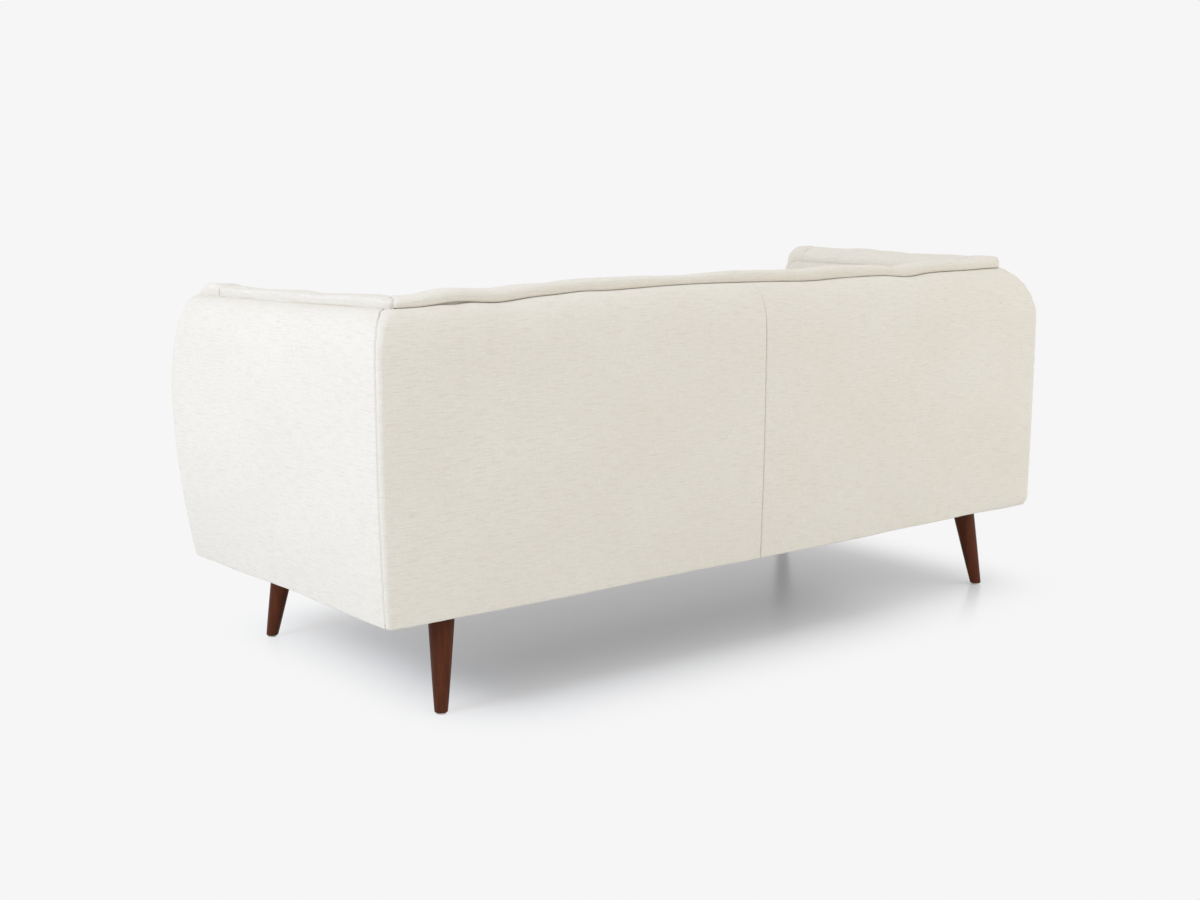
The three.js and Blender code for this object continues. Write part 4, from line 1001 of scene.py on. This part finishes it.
def black_cloth_finish():
    material, tree, shader = new_finish("black cloth")
    place = part(tree, "TexCoord").outputs["Object"]
    threads = grain(tree, stretched(tree, place, 900, 160))
    lint = grain(tree, stretched(tree, place, 60, 60, 60), 3.0)
    tone = mixed(tree, ranged(tree, threads, 0.4, 0.7), written(*BLACK), written(*THREAD_BLACK))
    tone = mixed(tree, ranged(tree, lint, 0.6, 0.75, 0, 0.5), tone, written(*LINT))
    bump = part(tree, "Bump", {"Height": threads, "Strength": 0.4, "Distance": 0.0004})
    fed(tree, shader, {"Base Color": tone, "Normal": bump.outputs[0], "Roughness": 0.95})
    return material


black_cloth = black_cloth_finish()


def black_sheet(name, places, faces, node):
    """A thin cloth stretched over the seat rails, from its places and faces."""
    piece = made(name, meshed(name, places, faces), black_cloth, "sofa")
    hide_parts(node)
    thickened(piece, BLACK_CLOTH_THICK)


def deck_cloth():
    low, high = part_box("seat_deck_cloth")
    x = np.linspace(-0.915, 0.915, 236)
    y = np.linspace(low.y + 0.001, high.y - 0.001, 70)
    grid = np.stack(np.meshgrid(x, y), -1)
    across, deep = grid[..., 0] / 0.88, (grid[..., 1] - y.mean()) / (0.47 * (y[-1] - y[0]))
    open_field = np.clip(1 - np.abs(across) ** 6, 0, 1) * np.clip(1 - np.abs(deep) ** 4, 0, 1)
    spring_pitch = 0.909 / 8
    springs = np.cos(2 * math.pi * grid[..., 0] / (2 * spring_pitch)) ** 2
    sag, over_springs = 0.0016, 0.0010
    z = high.z - 0.0002 - open_field * (sag + over_springs * springs)
    z += unevenness(grid[..., 0], grid[..., 1], 140, 0.12, 0.0004) * open_field
    places = spread(np.dstack([grid * (0.994, 1), z]))
    faces = between(*z.shape)[:, [0, 3, 2, 1]].tolist()
    black_sheet("deck_cloth", places, faces, "seat_deck_cloth")


deck_cloth()

# Dust cover: the same cloth under the frame, turned under and stapled over the shell's hems, with a
# hole round each leg's nut.
def dust_cover():
    level, margin, hole, mesh_step, clear_of_edge = 0.1992, 0.009, 0.014, 0.03, 0.012
    side = RIM_X + RIM_REACH - ARM_DRAW - 0.0165
    rear = RIM_Y + RIM_REACH - BACK_DRAW - margin
    front = FRONT + FRONT_DRAW + margin
    rail_front = FRAME_FRONT - 0.030 + margin
    wrap, nose = side - RIM_X, NOSE_ROUND - margin
    turn = quarter(8)
    half_edge = [(side - 0.007, rear - 0.017)]
    half_edge += [(side, y) for y in np.linspace(rear - 0.028, front + wrap, 30)[:-1]]
    half_edge += [(RIM_X + wrap * math.cos(a), front + wrap * (1 - math.sin(a))) for a in turn]
    half_edge += [
        (CAP_IN + margin + nose * (1 - math.sin(a)), min(rail_front, front + nose * (1 - math.cos(a))))
        for a in turn
    ]
    half_edge += [(x, rail_front) for x in np.linspace(CAP_IN + margin, 0, 32)[1:]]
    rear_edge = [(x, rear - 0.014 * (x / side) ** 4) for x in np.linspace(-side, side, 70)[2:-2]]
    edge = half_edge + [(-x, y) for x, y in half_edge[::-1][1:]] + rear_edge
    nuts = [(way * (FEET[end][0] - SPLAY[end][0]), FEET[end][1] - SPLAY[end][1])
            for end in FEET for way in SIDES]
    round_nut = np.linspace(0, 2 * math.pi, 25)[:-1]
    holes = [[(x + hole * math.cos(a), y + hole * math.sin(a)) for a in round_nut] for x, y in nuts]
    points, sides = [], []
    for loop in [edge] + holes:
        first, count = len(points), len(loop)
        sides += [(first + i, first + (i + 1) % count) for i in range(count)]
        points += loop
    rim = np.array(points)
    for x in np.arange(-0.93, 0.94, mesh_step):
        for y in np.arange(front + 0.02, rear - 0.01, mesh_step):
            if np.hypot(*(rim - (x, y)).T).min() > clear_of_edge:
                points.append((x, y))
    spots, _, faces, *_ = delaunay_2d_cdt([Vector(p) for p in points], sides, [], 2, 1e-6)
    spots = np.array([tuple(spot) for spot in spots])
    kept = []
    for face in faces:
        middle = spots[list(face)].mean(0)
        if all(math.dist(middle, nut) > hole - 0.0002 for nut in nuts):
            kept.append(tuple(face)[::-1])
    z = level + unevenness(spots[:, 0], spots[:, 1], 150, 0.14, 0.0005) - BLACK_CLOTH_THICK
    places = spread(np.column_stack([spots, z]))
    black_sheet("dust_cover_cloth", places, kept, "dust_cover")


dust_cover()

# Studio: a pale glossy floor under plain pale air, lit by a large soft panel off the right arm, a
# weaker one off the left rear corner, and the air itself.
SEEN_WHITE = written(246, 246, 246)
FLOOR_MIDDLE, FLOOR_REACH = {"X": -0.09, "Y": 0.0}, {"X": 0.70, "Y": 0.36}


def seen_rays(tree):
    """1 where the camera sees a thing, straight, in a gloss or through glass."""
    rays = part(tree, "LightPath").outputs
    direct = figured(tree, "MAXIMUM", rays["Is Camera Ray"], rays["Is Glossy Ray"])
    return figured(tree, "MAXIMUM", direct, rays["Is Transmission Ray"])


def studio_floor():
    """The floor keeps the shadow under the sofa, and clears to the backdrop's white away from it."""
    half = 14
    corners = [(-half, -half, 0), (half, -half, 0), (half, half, 0), (-half, half, 0)]
    mesh = meshed("studio_floor", corners, [(0, 1, 2, 3)])
    material, tree, shader = new_finish("studio floor")
    seen = seen_rays(tree)
    tone = mixed(tree, seen, written(248, 248, 248), written(255, 255, 255))
    fed(tree, shader, {"Base Color": tone, "Roughness": 0.22, "Specular IOR Level": 0.4})
    place = part(tree, "NewGeometry").outputs["Position"]
    axes = part(tree, "SeparateXYZ", {0: place})
    away = []
    for axis, middle in FLOOR_MIDDLE.items():
        from_middle = figured(tree, "SUBTRACT", axes.outputs[axis], middle)
        past = figured(tree, "SUBTRACT", figured(tree, "ABSOLUTE", from_middle), FLOOR_REACH[axis])
        away.append(figured(tree, "POWER", figured(tree, "MAXIMUM", past, 0.0), 2.0))
    distance = figured(tree, "SQRT", figured(tree, "ADD", *away))
    clear = part(tree, "MapRange", {
        "Value": distance, "From Min": 0.0, "From Max": 0.34, "To Min": 0.20, "To Max": 1.0,
    }, interpolation_type="SMOOTHSTEP").outputs[0]
    white = part(tree, "Emission", {"Color": SEEN_WHITE})
    share = figured(tree, "MULTIPLY", clear, seen)
    both = part(tree, "MixShader", {0: share, 1: shader.outputs[0], 2: white.outputs[0]})
    fed(tree, tree.nodes["Material Output"], {"Surface": both.outputs[0]})
    mesh.materials.append(material)
    placed("studio_floor", mesh)


studio_floor()


def soft_panel(name, place, towards, size, power, colour):
    """A square of soft light, not itself seen by the camera."""
    lamp = bpy.data.lights.new(name, "AREA")
    lamp.size, lamp.energy, lamp.color = size, power, colour
    panel = placed(name, lamp)
    panel.location = place
    panel.rotation_euler = (Vector(towards) - Vector(place)).to_track_quat("-Z", "Y").to_euler()
    panel.visible_camera = False


soft_panel("window_side", (3.7, 0.20, 2.05), (0.98, 0.0, 0.50), 1.4, 45, (0.63, 0.74, 1.0))
soft_panel("far_end", (-3.2, 3.0, 1.6), (-0.5, 0.4, 0.40), 2.0, 18, (1.0, 0.99, 0.97))
world = bpy.data.worlds.new("studio air")
bpy.context.scene.world = world
world.use_nodes = True
sky = world.node_tree
air = mixed(sky, seen_rays(sky), (0.96, 0.96, 0.965, 1), SEEN_WHITE)
fed(sky, sky.nodes["Background"], {"Color": air})
bpy.context.scene.view_settings.view_transform = "Standard"
